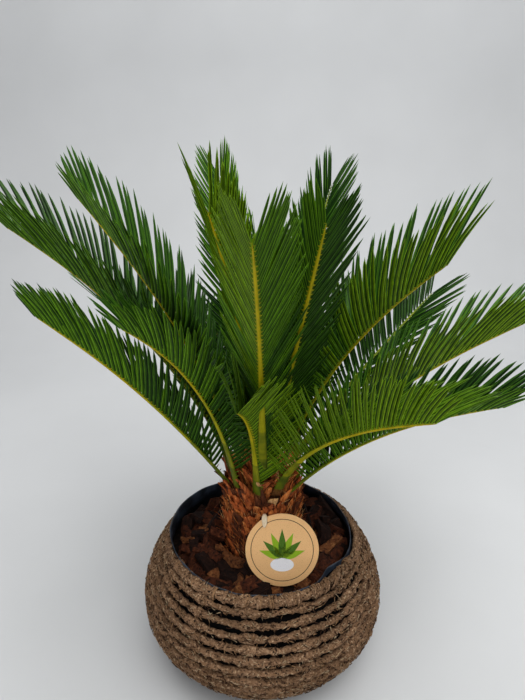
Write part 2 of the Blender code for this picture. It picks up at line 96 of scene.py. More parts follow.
class Shader:
    """A Principled material whose nodes are added by short calls."""

    def __init__(self, name: str, roughness: float) -> None:
        """Starts a material.

        Args:
            name: The material's name.
            roughness: Its roughness, the same all over.
        """
        self.material = bpy.data.materials.new(name)
        self.material.use_nodes = True
        self.nodes = self.material.node_tree.nodes
        self.links = self.material.node_tree.links
        self.base = self.nodes["Principled BSDF"]
        self.base.inputs["Roughness"].default_value = roughness
        self.place = self.nodes.new("ShaderNodeTexCoord").outputs["Object"]

    def stretched(self, scale: Triple) -> Socket:
        """Coordinates stretched along the axes.

        Args:
            scale: The factor on each axis.

        Returns:
            The mapped coordinates.
        """
        node = self.nodes.new("ShaderNodeMapping")
        node.inputs["Scale"].default_value = scale
        self.links.new(self.place, node.inputs["Vector"])
        return node.outputs["Vector"]

    def noise(
        self, scale: float, detail: float, vector: Socket | None = None, twist: float = 0.0
    ) -> Socket:
        """A cloudy value.

        Args:
            scale: Patches to a metre.
            detail: Octaves.
            vector: Coordinates, or None for the object's own.
            twist: Distortion.

        Returns:
            The value's socket.
        """
        node = self.nodes.new("ShaderNodeTexNoise")
        node.inputs["Scale"].default_value = scale
        node.inputs["Detail"].default_value = detail
        node.inputs["Distortion"].default_value = twist
        self.links.new(vector or self.place, node.inputs["Vector"])
        return node.outputs["Fac"]

    def ramp(self, value: Socket, stops: tuple[tuple[float, Colour], ...]) -> Socket:
        """A colour for each value.

        Args:
            value: The value's socket.
            stops: Places from 0 to 1 and their colours.

        Returns:
            The colour's socket.
        """
        node = self.nodes.new("ShaderNodeValToRGB")
        marks = node.color_ramp.elements
        while len(marks) < len(stops):
            marks.new(0.5)
        for mark, (place, colour) in zip(marks, stops):
            mark.position = place
            mark.color = (*colour, 1)
        self.links.new(value, node.inputs["Fac"])
        return node.outputs["Color"]

    def multiply(self, first: Socket, second: Socket) -> Socket:
        """Two colours multiplied.

        Args:
            first: A colour's socket.
            second: Another colour's socket.

        Returns:
            The product's socket.
        """
        node = self.nodes.new("ShaderNodeMix")
        node.data_type = "RGBA"
        node.blend_type = "MULTIPLY"
        share, one, other = (node.inputs[i] for i in (0, 6, 7))
        share.default_value = 1.0
        self.links.new(first, one)
        self.links.new(second, other)
        return node.outputs[2]

    def bump(self, height: Socket, distance: float, strength: float = 1.0) -> None:
        """Adds relief, on top of what is there.

        Args:
            height: The height's socket, 0 to 1.
            distance: The relief's depth in metres.
            strength: Its strength.
        """
        node = self.nodes.new("ShaderNodeBump")
        node.inputs["Strength"].default_value = strength
        node.inputs["Distance"].default_value = distance
        self.links.new(height, node.inputs["Height"])
        held = self.base.inputs["Normal"]
        if held.is_linked:
            self.links.new(held.links[0].from_socket, node.inputs["Normal"])
        self.links.new(node.outputs["Normal"], held)

    def finish(self, colour: Socket, gloss: float) -> Material:
        """Links the colour and sets the gloss.

        Args:
            colour: The base colour's socket.
            gloss: The specular level.

        Returns:
            The material.
        """
        self.links.new(colour, self.base.inputs["Base Color"])
        self.base.inputs["Specular IOR Level"].default_value = gloss
        return self.material


@dataclass(frozen=True)
class LeafFinish:
    """Living green: two near shades in soft patches, with a waxy gloss."""

    name: str
    shade: Colour
    light: Colour
    roughness: float
    patch: float
    gloss: float

    def build(self) -> Material:
        """Makes the material."""
        shader = Shader(self.name, self.roughness)
        patches = shader.noise(self.patch, 2.0)
        colour = shader.ramp(patches, ((0.35, self.shade), (0.65, self.light)))
        shader.bump(shader.noise(900.0, 2.0), 0.0001, 0.3)
        return shader.finish(colour, self.gloss)


@dataclass(frozen=True)
class FibreFinish:
    """Dry plant matter: three shades along a stretched grain, with dark pits."""

    name: str
    pit: Colour
    body: Colour
    light: Colour
    grain: float
    stretch: Triple
    relief: float = 0.0008
    roughness: float = 0.92

    def build(self) -> Material:
        """Makes the material."""
        shader = Shader(self.name, self.roughness)
        along = shader.stretched(self.stretch)
        grain = shader.noise(self.grain, 5.0, along, 0.4)
        shades = (self.pit, self.body, self.body, self.light)
        colour = shader.ramp(grain, tuple(zip(GRAIN_STOPS, shades)))
        colour = shader.multiply(colour, shader.ramp(shader.noise(26.0, 3.0), CLOUD_STOPS))
        shader.bump(grain, self.relief)
        shader.bump(shader.noise(self.grain * 3, 2.0, along), self.relief / 3)
        return shader.finish(colour, 0.2)


def dry(
    shades: dict[str, tuple[Display, ...]], grain: float, stretch: Triple = (1.0, 1.0, 1.0)
) -> list[Material]:
    """Makes finishes of dry plant matter that differ in their colours alone.

    Args:
        shades: By name, the display colours of the pits, the body and the light.
        grain: Grains to a metre.
        stretch: The grain's factor on each axis.

    Returns:
        The materials, in the table's order.
    """
    return [
        FibreFinish(name, *(rgb(*colour) for colour in colours), grain, stretch).build()
        for name, colours in shades.items()
    ]


@dataclass(frozen=True)
class FilmFinish:
    """Thin black plastic film, crumpled, with a soft blue sheen painted into its colour in patches: a
    painted reflection.
    """

    name: str
    shade: Colour
    light: Colour
    roughness: float = 0.38
    gloss: float = 0.5

    def build(self) -> Material:
        """Makes the material."""
        shader = Shader(self.name, self.roughness)
        # Painted reflection: patches of bluish sheen over the dark film.
        dust = shader.noise(60.0, 4.0)
        colour = shader.ramp(dust, ((0.42, self.shade), (0.72, self.light)))
        shader.bump(shader.noise(110.0, 3.0, twist=1.2), 0.0012, 0.6)
        return shader.finish(colour, self.gloss)


@dataclass(frozen=True)
class PaperFinish:
    """Kraft board: an even brown with fine flecks of pulp."""

    name: str
    body: Colour
    fleck: Colour

    def build(self) -> Material:
        """Makes the material."""
        shader = Shader(self.name, 0.82)
        flecks = shader.noise(1500.0, 3.0)
        colour = shader.ramp(flecks, ((0.30, self.fleck), (0.44, self.body)))
        shader.bump(flecks, 0.00004, 0.5)
        return shader.finish(colour, 0.25)


@dataclass(frozen=True)
class StudioFinish:
    """The pale floor and backdrop, very slightly clouded."""

    name: str
    shade: Colour
    light: Colour

    def build(self) -> Material:
        """Makes the material."""
        shader = Shader(self.name, 0.75)
        colour = shader.ramp(shader.noise(3.0, 3.0), ((0.3, self.shade), (0.7, self.light)))
        return shader.finish(colour, 0.25)


# ------------------------------------------------------------ mesh making


def deselect() -> None:
    """Leaves nothing selected."""
    if bpy.context.mode != "OBJECT":
        bpy.ops.object.mode_set(mode="OBJECT")
    bpy.ops.object.select_all(action="DESELECT")


def select_only(piece: Piece) -> None:
    """Selects one piece and makes it the active one."""
    deselect()
    piece.select_set(True)
    bpy.context.view_layer.objects.active = piece


def modify(piece: Piece, kind: str, **settings) -> None:
    """Adds a modifier and applies it.

    Args:
        piece: The piece to change.
        kind: The modifier's type.
        settings: The modifier's settings by name.
    """
    select_only(piece)
    modifier = piece.modifiers.new("step", kind)
    for name, value in settings.items():
        setattr(modifier, name, value)
    bpy.ops.object.modifier_apply(modifier=modifier.name)


def displace(piece: Piece, *reliefs: tuple[float, float]) -> None:
    """Pushes a piece's surface in and out by clouds.

    Args:
        piece: The piece to change.
        reliefs: The feature size and the depth of each relief, in metres.
    """
    for scale, depth in reliefs:
        texture = bpy.data.textures.new("relief", "CLOUDS")
        texture.noise_scale = scale
        modify(
            piece, "DISPLACE", texture=texture, strength=depth, mid_level=0.5, texture_coords="LOCAL"
        )


def dress(piece: Piece, slot: str, *finishes: Material) -> Piece:
    """Gives a piece its materials and its body.

    Args:
        piece: The finished piece.
        slot: A material slot's name; not used.
        finishes: Its materials, in the order of its finish numbers.

    Returns:
        The piece.
    """
    for finish in finishes:
        piece.data.materials.append(finish)
    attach(piece, BODY)
    LOG.info("%s: %d faces", piece.name, len(piece.data.polygons))
    return piece


@dataclass
class Gathered:
    """Points and faces of many small shapes, to be joined into one mesh."""

    points: list[np.ndarray] = field(default_factory=list)
    corners: list[np.ndarray] = field(default_factory=list)
    sizes: list[np.ndarray] = field(default_factory=list)
    finishes: list[np.ndarray] = field(default_factory=list)
    count: int = 0

    def add(self, points: np.ndarray, faces: list[np.ndarray], finishes: list[np.ndarray]) -> None:
        """Adds closed shapes that share their faces, each turned to face outwards.

        Args:
            points: Points of all the shapes, (shapes, points, 3).
            faces: Face groups, each (faces, corners), of indices within a shape.
            finishes: For each group, finish numbers, (faces,) or (shapes, faces).
        """
        shapes, each = points.shape[:2]
        volume = np.zeros(shapes)
        for group in faces:
            start = points[:, group[:, 0]]
            for i in range(1, group.shape[1] - 1):
                cross = np.cross(points[:, group[:, i]], points[:, group[:, i + 1]])
                volume += np.einsum("kmi,kmi->k", start, cross)
        shift = (self.count + each * np.arange(shapes))[:, None, None]
        for group, finish in zip(faces, finishes):
            facing = np.where((volume < 0)[:, None, None], group[None, :, ::-1], group[None])
            self.corners.append((facing + shift).reshape(-1))
            self.sizes.append(np.full(shapes * len(group), group.shape[1]))
            self.finishes.append(np.broadcast_to(finish, (shapes, len(group))).reshape(-1))
        self.points.append(points.reshape(-1, 3))
        self.count += shapes * each

    def build(self, name: str, smooth: bool = True) -> Piece:
        """Makes the joined mesh and its object.

        Args:
            name: The piece's name.
            smooth: Whether its faces are shaded smooth.

        Returns:
            The new piece.
        """
        mesh = bpy.data.meshes.new(name)
        points = np.concatenate(self.points)
        corners = np.concatenate(self.corners)
        sizes = np.concatenate(self.sizes)
        starts = np.concatenate(([0], np.cumsum(sizes)[:-1]))
        mesh.vertices.add(len(points))
        mesh.vertices.foreach_set("co", points.astype(np.float32).reshape(-1))
        mesh.loops.add(len(corners))
        mesh.loops.foreach_set("vertex_index", corners.astype(np.int32))
        mesh.polygons.add(len(sizes))
        mesh.polygons.foreach_set("loop_start", starts.astype(np.int32))
        mesh.polygons.foreach_set("material_index", np.concatenate(self.finishes).astype(np.int32))
        mesh.polygons.foreach_set("use_smooth", np.full(len(sizes), smooth))
        mesh.update(calc_edges=True)
        mesh.validate()
        piece = bpy.data.objects.new(name, mesh)
        bpy.context.scene.collection.objects.link(piece)
        return piece


def gathered_once(
    name: str, points: np.ndarray, faces: list[np.ndarray], kinds: np.ndarray, smooth: bool = True
) -> Piece:
    """Makes a piece of shapes that each have one finish all over.

    Args:
        name: The piece's name.
        points: Points of all the shapes, (shapes, points, 3).
        faces: Face groups, as Gathered.add takes them.
        kinds: Each shape's finish number.
        smooth: Whether its faces are shaded smooth.

    Returns:
        The new piece.
    """
    gathered = Gathered()
    gathered.add(points, faces, [kinds[:, None]] * len(faces))
    return gathered.build(name, smooth)


def unit(vectors: np.ndarray) -> np.ndarray:
    """Vectors along the last axis, each made one long."""
    return vectors / np.linalg.norm(vectors, axis=-1, keepdims=True)


def times(vectors: np.ndarray, amounts: np.ndarray) -> np.ndarray:
    """Each vector times its own amount."""
    return vectors * amounts[:, None]


def rotated(
    first: np.ndarray, second: np.ndarray, angle: np.ndarray | float
) -> tuple[np.ndarray, np.ndarray]:
    """Two coordinates or directions, turned from the first towards the second."""
    cos, sin = np.cos(angle), np.sin(angle)
    return first * cos - second * sin, first * sin + second * cos


def compass(angle: np.ndarray) -> tuple[np.ndarray, np.ndarray]:
    """Level directions away from the axis and round it, each (angles, 3)."""
    cos, sin, zero = np.cos(angle), np.sin(angle), np.zeros(len(angle))
    return np.stack([cos, sin, zero], 1), np.stack([-sin, cos, zero], 1)


def off_heading(angle: np.ndarray, degrees: float) -> np.ndarray:
    """How far angles lie from a heading, in radians from -pi to pi."""
    return np.angle(np.exp(1j * (angle - math.radians(degrees))))


def waves(
    rng: random.Random, angle: np.ndarray, counts: tuple[int, ...], least: float, fall: float
) -> np.ndarray:
    """Waves round the axis, each of a random strength and phase.

    Args:
        rng: The seeded random numbers.
        angle: Angles about the axis.
        counts: Each wave's number of crests.
        least: The weakest strength, against 1 for the strongest.
        fall: The power of its crests' number that a wave's strength is divided by.

    Returns:
        Their sum at each angle.
    """
    return sum(
        rng.uniform(least, 1.0) / n**fall * np.sin(n * angle + rng.uniform(0, PHASE_RANGE))
        for n in counts
    )


def bowed(
    start: np.ndarray, run: np.ndarray, bend: np.ndarray, length: np.ndarray, shares: np.ndarray
) -> np.ndarray:
    """Lines that bend evenly on their way.

    Args:
        start: Where each line starts, (lines, 3).
        run: Its direction there, (lines, 3).
        bend: How much that direction changes by its end, (lines, 3).
        length: Its length, (lines,).
        shares: The shares of its length that get a point.

    Returns:
        The points, (lines, shares, 3).
    """
    u = shares[None, :, None]
    return start[:, None] + length[:, None, None] * (run[:, None] * u + bend[:, None] * (u**2 / 2))


def swept(
    centres: np.ndarray, wide: np.ndarray, tall: np.ndarray, section: np.ndarray
) -> tuple[np.ndarray, list[np.ndarray]]:
    """Sweeps a section along many centre lines, each ending in a point.

    Args:
        centres: Centre lines, (shapes, rings + 1, 3), the last being the tip.
        wide: The section's first direction and size, (shapes, rings, 3).
        tall: The section's second direction and size, (shapes, rings, 3).
        section: The section's corners, (corners, 2).

    Returns:
        Points (shapes, points, 3), and the faces of the side, the tip and the foot.
    """
    shapes, rings = wide.shape[:2]
    count = len(section)
    across, over = section[:, 0:1], section[:, 1:2]
    corners = centres[:, :rings, None] + wide[:, :, None] * across + tall[:, :, None] * over
    points = np.concatenate([corners.reshape(shapes, rings * count, 3), centres[:, rings:]], axis=1)
    start = np.arange(count)
    after = (start + 1) % count
    sides = [
        np.stack([start, after, after + count, start + count], 1) + j * count for j in range(rings - 1)
    ]
    last = (rings - 1) * count
    tip = np.stack([start + last, after + last, np.full(count, rings * count)], 1)
    foot = start[None, ::-1]
    return points, [np.concatenate(sides), tip, foot]


def hairs(
    centres: np.ndarray, run: np.ndarray, outward: np.ndarray, thick: np.ndarray
) -> tuple[np.ndarray, list[np.ndarray]]:
    """Fine hairs of three sides along centre lines.

    Args:
        centres: Centre lines, (hairs, rings + 1, 3), the last being the tip.
        run: The hairs' directions at their feet, (hairs, 3).
        outward: Directions away from what they lie on, (hairs, 3).
        thick: Half their thickness at each ring, (hairs or 1, rings).

    Returns:
        Points and faces, as swept gives them.
    """
    wide = unit(np.cross(run, outward))
    tall = np.cross(wide, run)
    scale = thick[:, :, None]
    return swept(centres, wide[:, None] * scale, tall[:, None] * scale, HAIR_SECTION)


def turned(name: str, profile: list[tuple[float, float]], steps: int, closed: bool) -> Piece:
    """Models a round piece from a filled circle whose edge is extruded and scaled ring by ring.

    Args:
        name: The piece's name.
        profile: (radius, height) from the filled start to the end.
        steps: Sides of the circle.
        closed: Whether the last ring is filled too.

    Returns:
        The new piece.
    """
    deselect()
    radius, height = profile[0]
    bpy.ops.mesh.primitive_circle_add(
        vertices=steps, radius=radius, fill_type="NGON", location=(0, 0, height)
    )
    piece = bpy.context.active_object
    piece.name = name
    bpy.ops.object.transform_apply(location=True, rotation=False, scale=False)
    bpy.ops.object.mode_set(mode="EDIT")
    bpy.ops.mesh.select_mode(type="EDGE")
    bpy.ops.mesh.select_all(action="SELECT")
    for next_radius, next_height in profile[1:]:
        bpy.ops.mesh.extrude_edges_move(
            TRANSFORM_OT_translate={"value": (0, 0, next_height - height)}
        )
        share = next_radius / radius
        bpy.ops.transform.resize(value=(share, share, 1))
        radius, height = next_radius, next_height
    if closed:
        bpy.ops.mesh.edge_face_add()
    bpy.ops.mesh.select_all(action="SELECT")
    bpy.ops.mesh.normals_make_consistent(inside=False)
    bpy.ops.object.mode_set(mode="OBJECT")
    return piece


def ring(radius: float, height: float, thickness: float, steps: int, sides: int) -> Piece:
    """Models a round ring that lies level about the axis.

    Args:
        radius: The radius of its middle line.
        height: The height of its middle line.
        thickness: Its thickness.
        steps: Its parts round the axis.
        sides: The sides of its section.

    Returns:
        The new piece.
    """
    deselect()
    bpy.ops.mesh.primitive_torus_add(
        major_segments=steps,
        minor_segments=sides,
        major_radius=radius,
        minor_radius=thickness / 2,
        location=(0, 0, height),
    )
    bpy.ops.object.transform_apply(location=True, rotation=False, scale=False)
    return bpy.context.active_object


def vertices(piece: Piece) -> np.ndarray:
    """A mesh piece's points, (points, 3)."""
    flat = np.empty(len(piece.data.vertices) * 3, np.float32)
    piece.data.vertices.foreach_get("co", flat)
    return flat.reshape(-1, 3).astype(float)


def move_vertices(piece: Piece, points: np.ndarray) -> None:
    """Puts a mesh piece's points at new places."""
    piece.data.vertices.foreach_set("co", points.astype(np.float32).reshape(-1))
    piece.data.update()


def block() -> tuple[np.ndarray, np.ndarray]:
    """Models a finely divided cube, one unit to each half side.

    Returns:
        Its points and its faces.
    """
    deselect()
    bpy.ops.mesh.primitive_cube_add(size=2)
    cube = bpy.context.active_object
    bpy.ops.object.mode_set(mode="EDIT")
    bpy.ops.mesh.select_all(action="SELECT")
    bpy.ops.mesh.subdivide(number_cuts=3)
    bpy.ops.object.mode_set(mode="OBJECT")
    points = vertices(cube)
    faces = np.array([tuple(face.vertices) for face in cube.data.polygons])
    bpy.data.objects.remove(cube)
    return points, faces


def join(pieces: list[Piece], name: str) -> Piece:
    """Joins pieces into the first of them.

    Args:
        pieces: The pieces to join.
        name: The joined piece's name.

    Returns:
        The joined piece.
    """
    deselect()
    for piece in pieces:
        piece.select_set(True)
    bpy.context.view_layer.objects.active = pieces[0]
    bpy.ops.object.join()
    pieces[0].name = name
    pieces[0].data.name = name
    return pieces[0]


# ----------------------------------------------------------------- fronds


class Tone(Enum):
    """How bright a frond's greens are; the darker tones stand partly for painted shade, on fronds at the
    back and inside the crown and on shaded leaflets.
    """

    FRESH = 0
    GREEN = 1
    DEEP = 2


class Quarter(Enum):
    """The group that a frond is joined into."""

    FRONT = "front"
    SIDES = "sides"
    BACK = "back"


class Leaf(IntEnum):
    """A leaflet's four finishes, as numbered within its tone: upper and under colours, a painted highlight
    on the rolled margins, and painted shade on one half of each side.
    """

    TOP = 0
    UNDER = 1
    MARGIN = 2
    SHADE = 3


class Stalk(IntEnum):
    """A stalk's finishes, as numbered after those of all tones."""

    UNDER = 12
    TOP = 13
    FOOT = 14
    GOLD = 15
    OLIVE = 16
    AMID = 17


@dataclass(frozen=True)
class Frond:
    """One frond of the source's table, with its greens and its group."""

    node: str
    quarter: Quarter
    heading: float
    rise_foot: float
    rise_tip: float
    droop: float
    length: float
    swing: float
    seat: float
    leaflet: float
    spread: float
    fold: float
    roll: float
    tip: float
    tone: Tone
    turn: float = 1.0
    # The side whose leaflets get one tone of painted shade: 1 or -1, or 0 for none.
    dim: float = 0.0


def table() -> tuple[Frond, ...]:
    """The source's fronds, in its order."""
    fresh, green, deep = Tone
    # The darker tones on fronds at the back and inside the crown stand partly for painted shade.
    rows = {
        Quarter.FRONT: (
            ("front_low", 260, 84, 29, 1.37, 0.167, -2, 0.033, 0.070, 0.92, 60, 28, 1.00, fresh),
            ("front_tall", 270, 68, 45, 1.00, 0.352, -3, 0.020, 0.072, 0.74, 48, 2, 0.40, fresh, 1, -1),
            ("front_left", 223, 79, 35, 1.43, 0.250, 2, 0.034, 0.067, 0.76, 40, 6, 0.33, green, -1),
            ("front_right", 298, 71, 26, 0.57, 0.266, 5, 0.030, 0.066, 1.00, 45, 15, 0.63, fresh, -1),
            ("inner_left", 247, 83, 55, 1.32, 0.313, 5, 0.012, 0.072, 0.53, 52, -2, 0.69, fresh),
            ("inner_right", 291, 75, 54, 0.84, 0.328, -13, 0.016, 0.068, 0.68, 41, 19, 0.26, green, 1, -1),
        ),
        Quarter.SIDES: (
            ("left_upper", 215, 77, 53, 0.98, 0.338, -4, 0.021, 0.075, 0.96, 30, 25, 0.35, green, -1),
            ("left_long", 178, 81, 35, 0.68, 0.346, 5, 0.031, 0.083, 0.87, 52, 5, 0.62, green, -1, 1),
            ("left_low", 200, 58, 41, 1.44, 0.270, -4, 0.033, 0.070, 0.80, 46, -16, 0.35, green, -1, 1),
            ("right_upper", 327, 75, 41, 1.19, 0.297, 2, 0.019, 0.080, 1.06, 54, -15, 0.85, fresh, -1, -1),
            ("right_long", 347, 58, 30, 0.99, 0.288, 1, 0.030, 0.078, 0.84, 46, 7, 0.61, fresh, -1, -1),
            ("right_low", 320, 55, 25, 1.05, 0.259, 2, 0.034, 0.064, 0.88, 52, -8, 0.45, green, -1, -1),
            ("right_back", 24, 61, 31, 0.56, 0.271, 12, 0.027, 0.074, 1.04, 40, -19, 0.46, deep),
        ),
        Quarter.BACK: (
            ("back_tall_left", 104, 71, 49, 0.98, 0.349, 3, 0.019, 0.076, 0.86, 57, 23, 0.52, green),
            ("back_tall_right", 66, 68, 44, 1.08, 0.351, 1, 0.021, 0.080, 0.85, 56, -20, 0.48, deep),
            ("back_inner", 92, 81, 58, 0.98, 0.253, 3, 0.008, 0.070, 0.88, 57, -16, 0.43, green),
            ("back_left", 128, 60, 30, 1.00, 0.225, 0, 0.030, 0.072, 0.92, 50, 0, 0.50, deep),
            ("back_low_right", 42, 64, 18, 0.90, 0.300, 0, 0.032, 0.076, 0.92, 50, 0, 0.50, green),
            ("back_low_middle", 76, 62, 14, 0.90, 0.290, 0, 0.033, 0.076, 0.92, 50, 0, 0.50, green),
            ("back_low_left", 108, 52, 6, 0.90, 0.250, 0, 0.033, 0.074, 0.92, 50, 0, 0.50, green),
            ("back_side_left", 147, 60, 22, 0.90, 0.270, 0, 0.032, 0.076, 0.92, 50, 0, 0.50, deep),
        ),
    }
    return tuple(
        Frond(f"frond_{name}", quarter, *values)
        for quarter, group in rows.items()
        for name, *values in group
    )


@dataclass
class Rib:
    """A rib's shares of length, points, and directions along, sideways and up."""

    share: np.ndarray
    point: np.ndarray
    along: np.ndarray
    side: np.ndarray
    up: np.ndarray

    def at(self, shares: np.ndarray) -> "Rib":
        """The rib at other shares of its length, between its own places."""

        def between(values: np.ndarray) -> np.ndarray:
            """Each column at the new shares."""
            return np.stack([np.interp(shares, self.share, values[:, i]) for i in range(3)], 1)

        directions = (unit(between(values)) for values in (self.along, self.side, self.up))
        return Rib(shares, between(self.point), *directions)


@dataclass
class FrondRule:
    """The source's rule for ribs, and the sizes of what grows on them."""

    crown_height: float = 0.2155
    crown_fall: float = 9.0
    steps: int = 168
    bare: float = 4 / 28
    rib_width: tuple[float, float] = (0.0056, 0.0026)
    rib_height: tuple[float, float] = (0.0034, 0.0018)
    spread: tuple[float, float] = (math.radians(72), math.radians(28))
    knots: tuple[tuple[float, float], ...] = ((0.0, 0.40), (0.12, 0.70), (0.35, 1.0), (0.75, 1.0))
    tip_bend: float = 0.93
    tip_bend_loss: float = 0.4
    gap: float = 0.0003

    def directions(self, frond: Frond, share: np.ndarray) -> tuple[np.ndarray, np.ndarray, np.ndarray]:
        """The rib's directions.

        Args:
            frond: The frond.
            share: Shares of its length.

        Returns:
            Directions along, sideways and up, each (places, 3).
        """
        rise = np.radians(frond.rise_foot + (frond.rise_tip - frond.rise_foot) * share**frond.droop)
        heading = np.radians(frond.heading + frond.swing * share)
        level = (np.cos(heading), np.sin(heading))
        along = np.stack([np.cos(rise) * level[0], np.cos(rise) * level[1], np.sin(rise)], 1)
        up = np.stack([-np.sin(rise) * level[0], -np.sin(rise) * level[1], np.cos(rise)], 1)
        return along, *rotated(np.cross(along, up), up, -math.radians(frond.roll))

    def foot(self, frond: Frond) -> np.ndarray:
        """The rib's foot on the domed crown, clear of it at its four corners."""
        along, side, up = (value[0] for value in self.directions(frond, np.zeros(1)))
        heading = math.radians(frond.heading)
        centre = np.array([math.cos(heading), math.sin(heading), 0.0]) * frond.seat
        for across in (-0.5, 0.5):
            for over in (-0.5, 0.5):
                corner = side * across * self.rib_width[0] + up * over * self.rib_height[0]
                radius = math.hypot(centre[0] + corner[0], centre[1] + corner[1])
                height = self.crown_height - self.crown_fall * radius**2 - corner[2] + self.gap
                centre[2] = max(centre[2], height)
        return centre

    def rib(self, frond: Frond) -> Rib:
        """A frond's rib, worked out in fine steps from its foot."""
        share = np.arange(self.steps + 1) / self.steps
        middle = self.directions(frond, (share[:-1] + share[1:]) / 2)[0]
        walked = np.cumsum(middle * frond.length / self.steps, axis=0)
        foot = self.foot(frond)
        points = np.concatenate([foot[None], foot + walked])
        return Rib(share, points, *self.directions(frond, share))

    def rib_half(self, share: np.ndarray) -> tuple[np.ndarray, np.ndarray]:
        """Half the rib's width and height at shares of its length."""
        width = self.rib_width[0] + (self.rib_width[1] - self.rib_width[0]) * share
        height = self.rib_height[0] + (self.rib_height[1] - self.rib_height[0]) * share
        return width / 2, height / 2

    def leaflet_share(self, leafy: np.ndarray, tip: float) -> np.ndarray:
        """The leaflets' length as a share of the longest."""
        bend = 1.0 - (1.0 - tip) * self.tip_bend_loss
        places, values = zip(*self.knots, (self.tip_bend, bend), (1.0, tip))
        return np.interp(leafy, places, values)


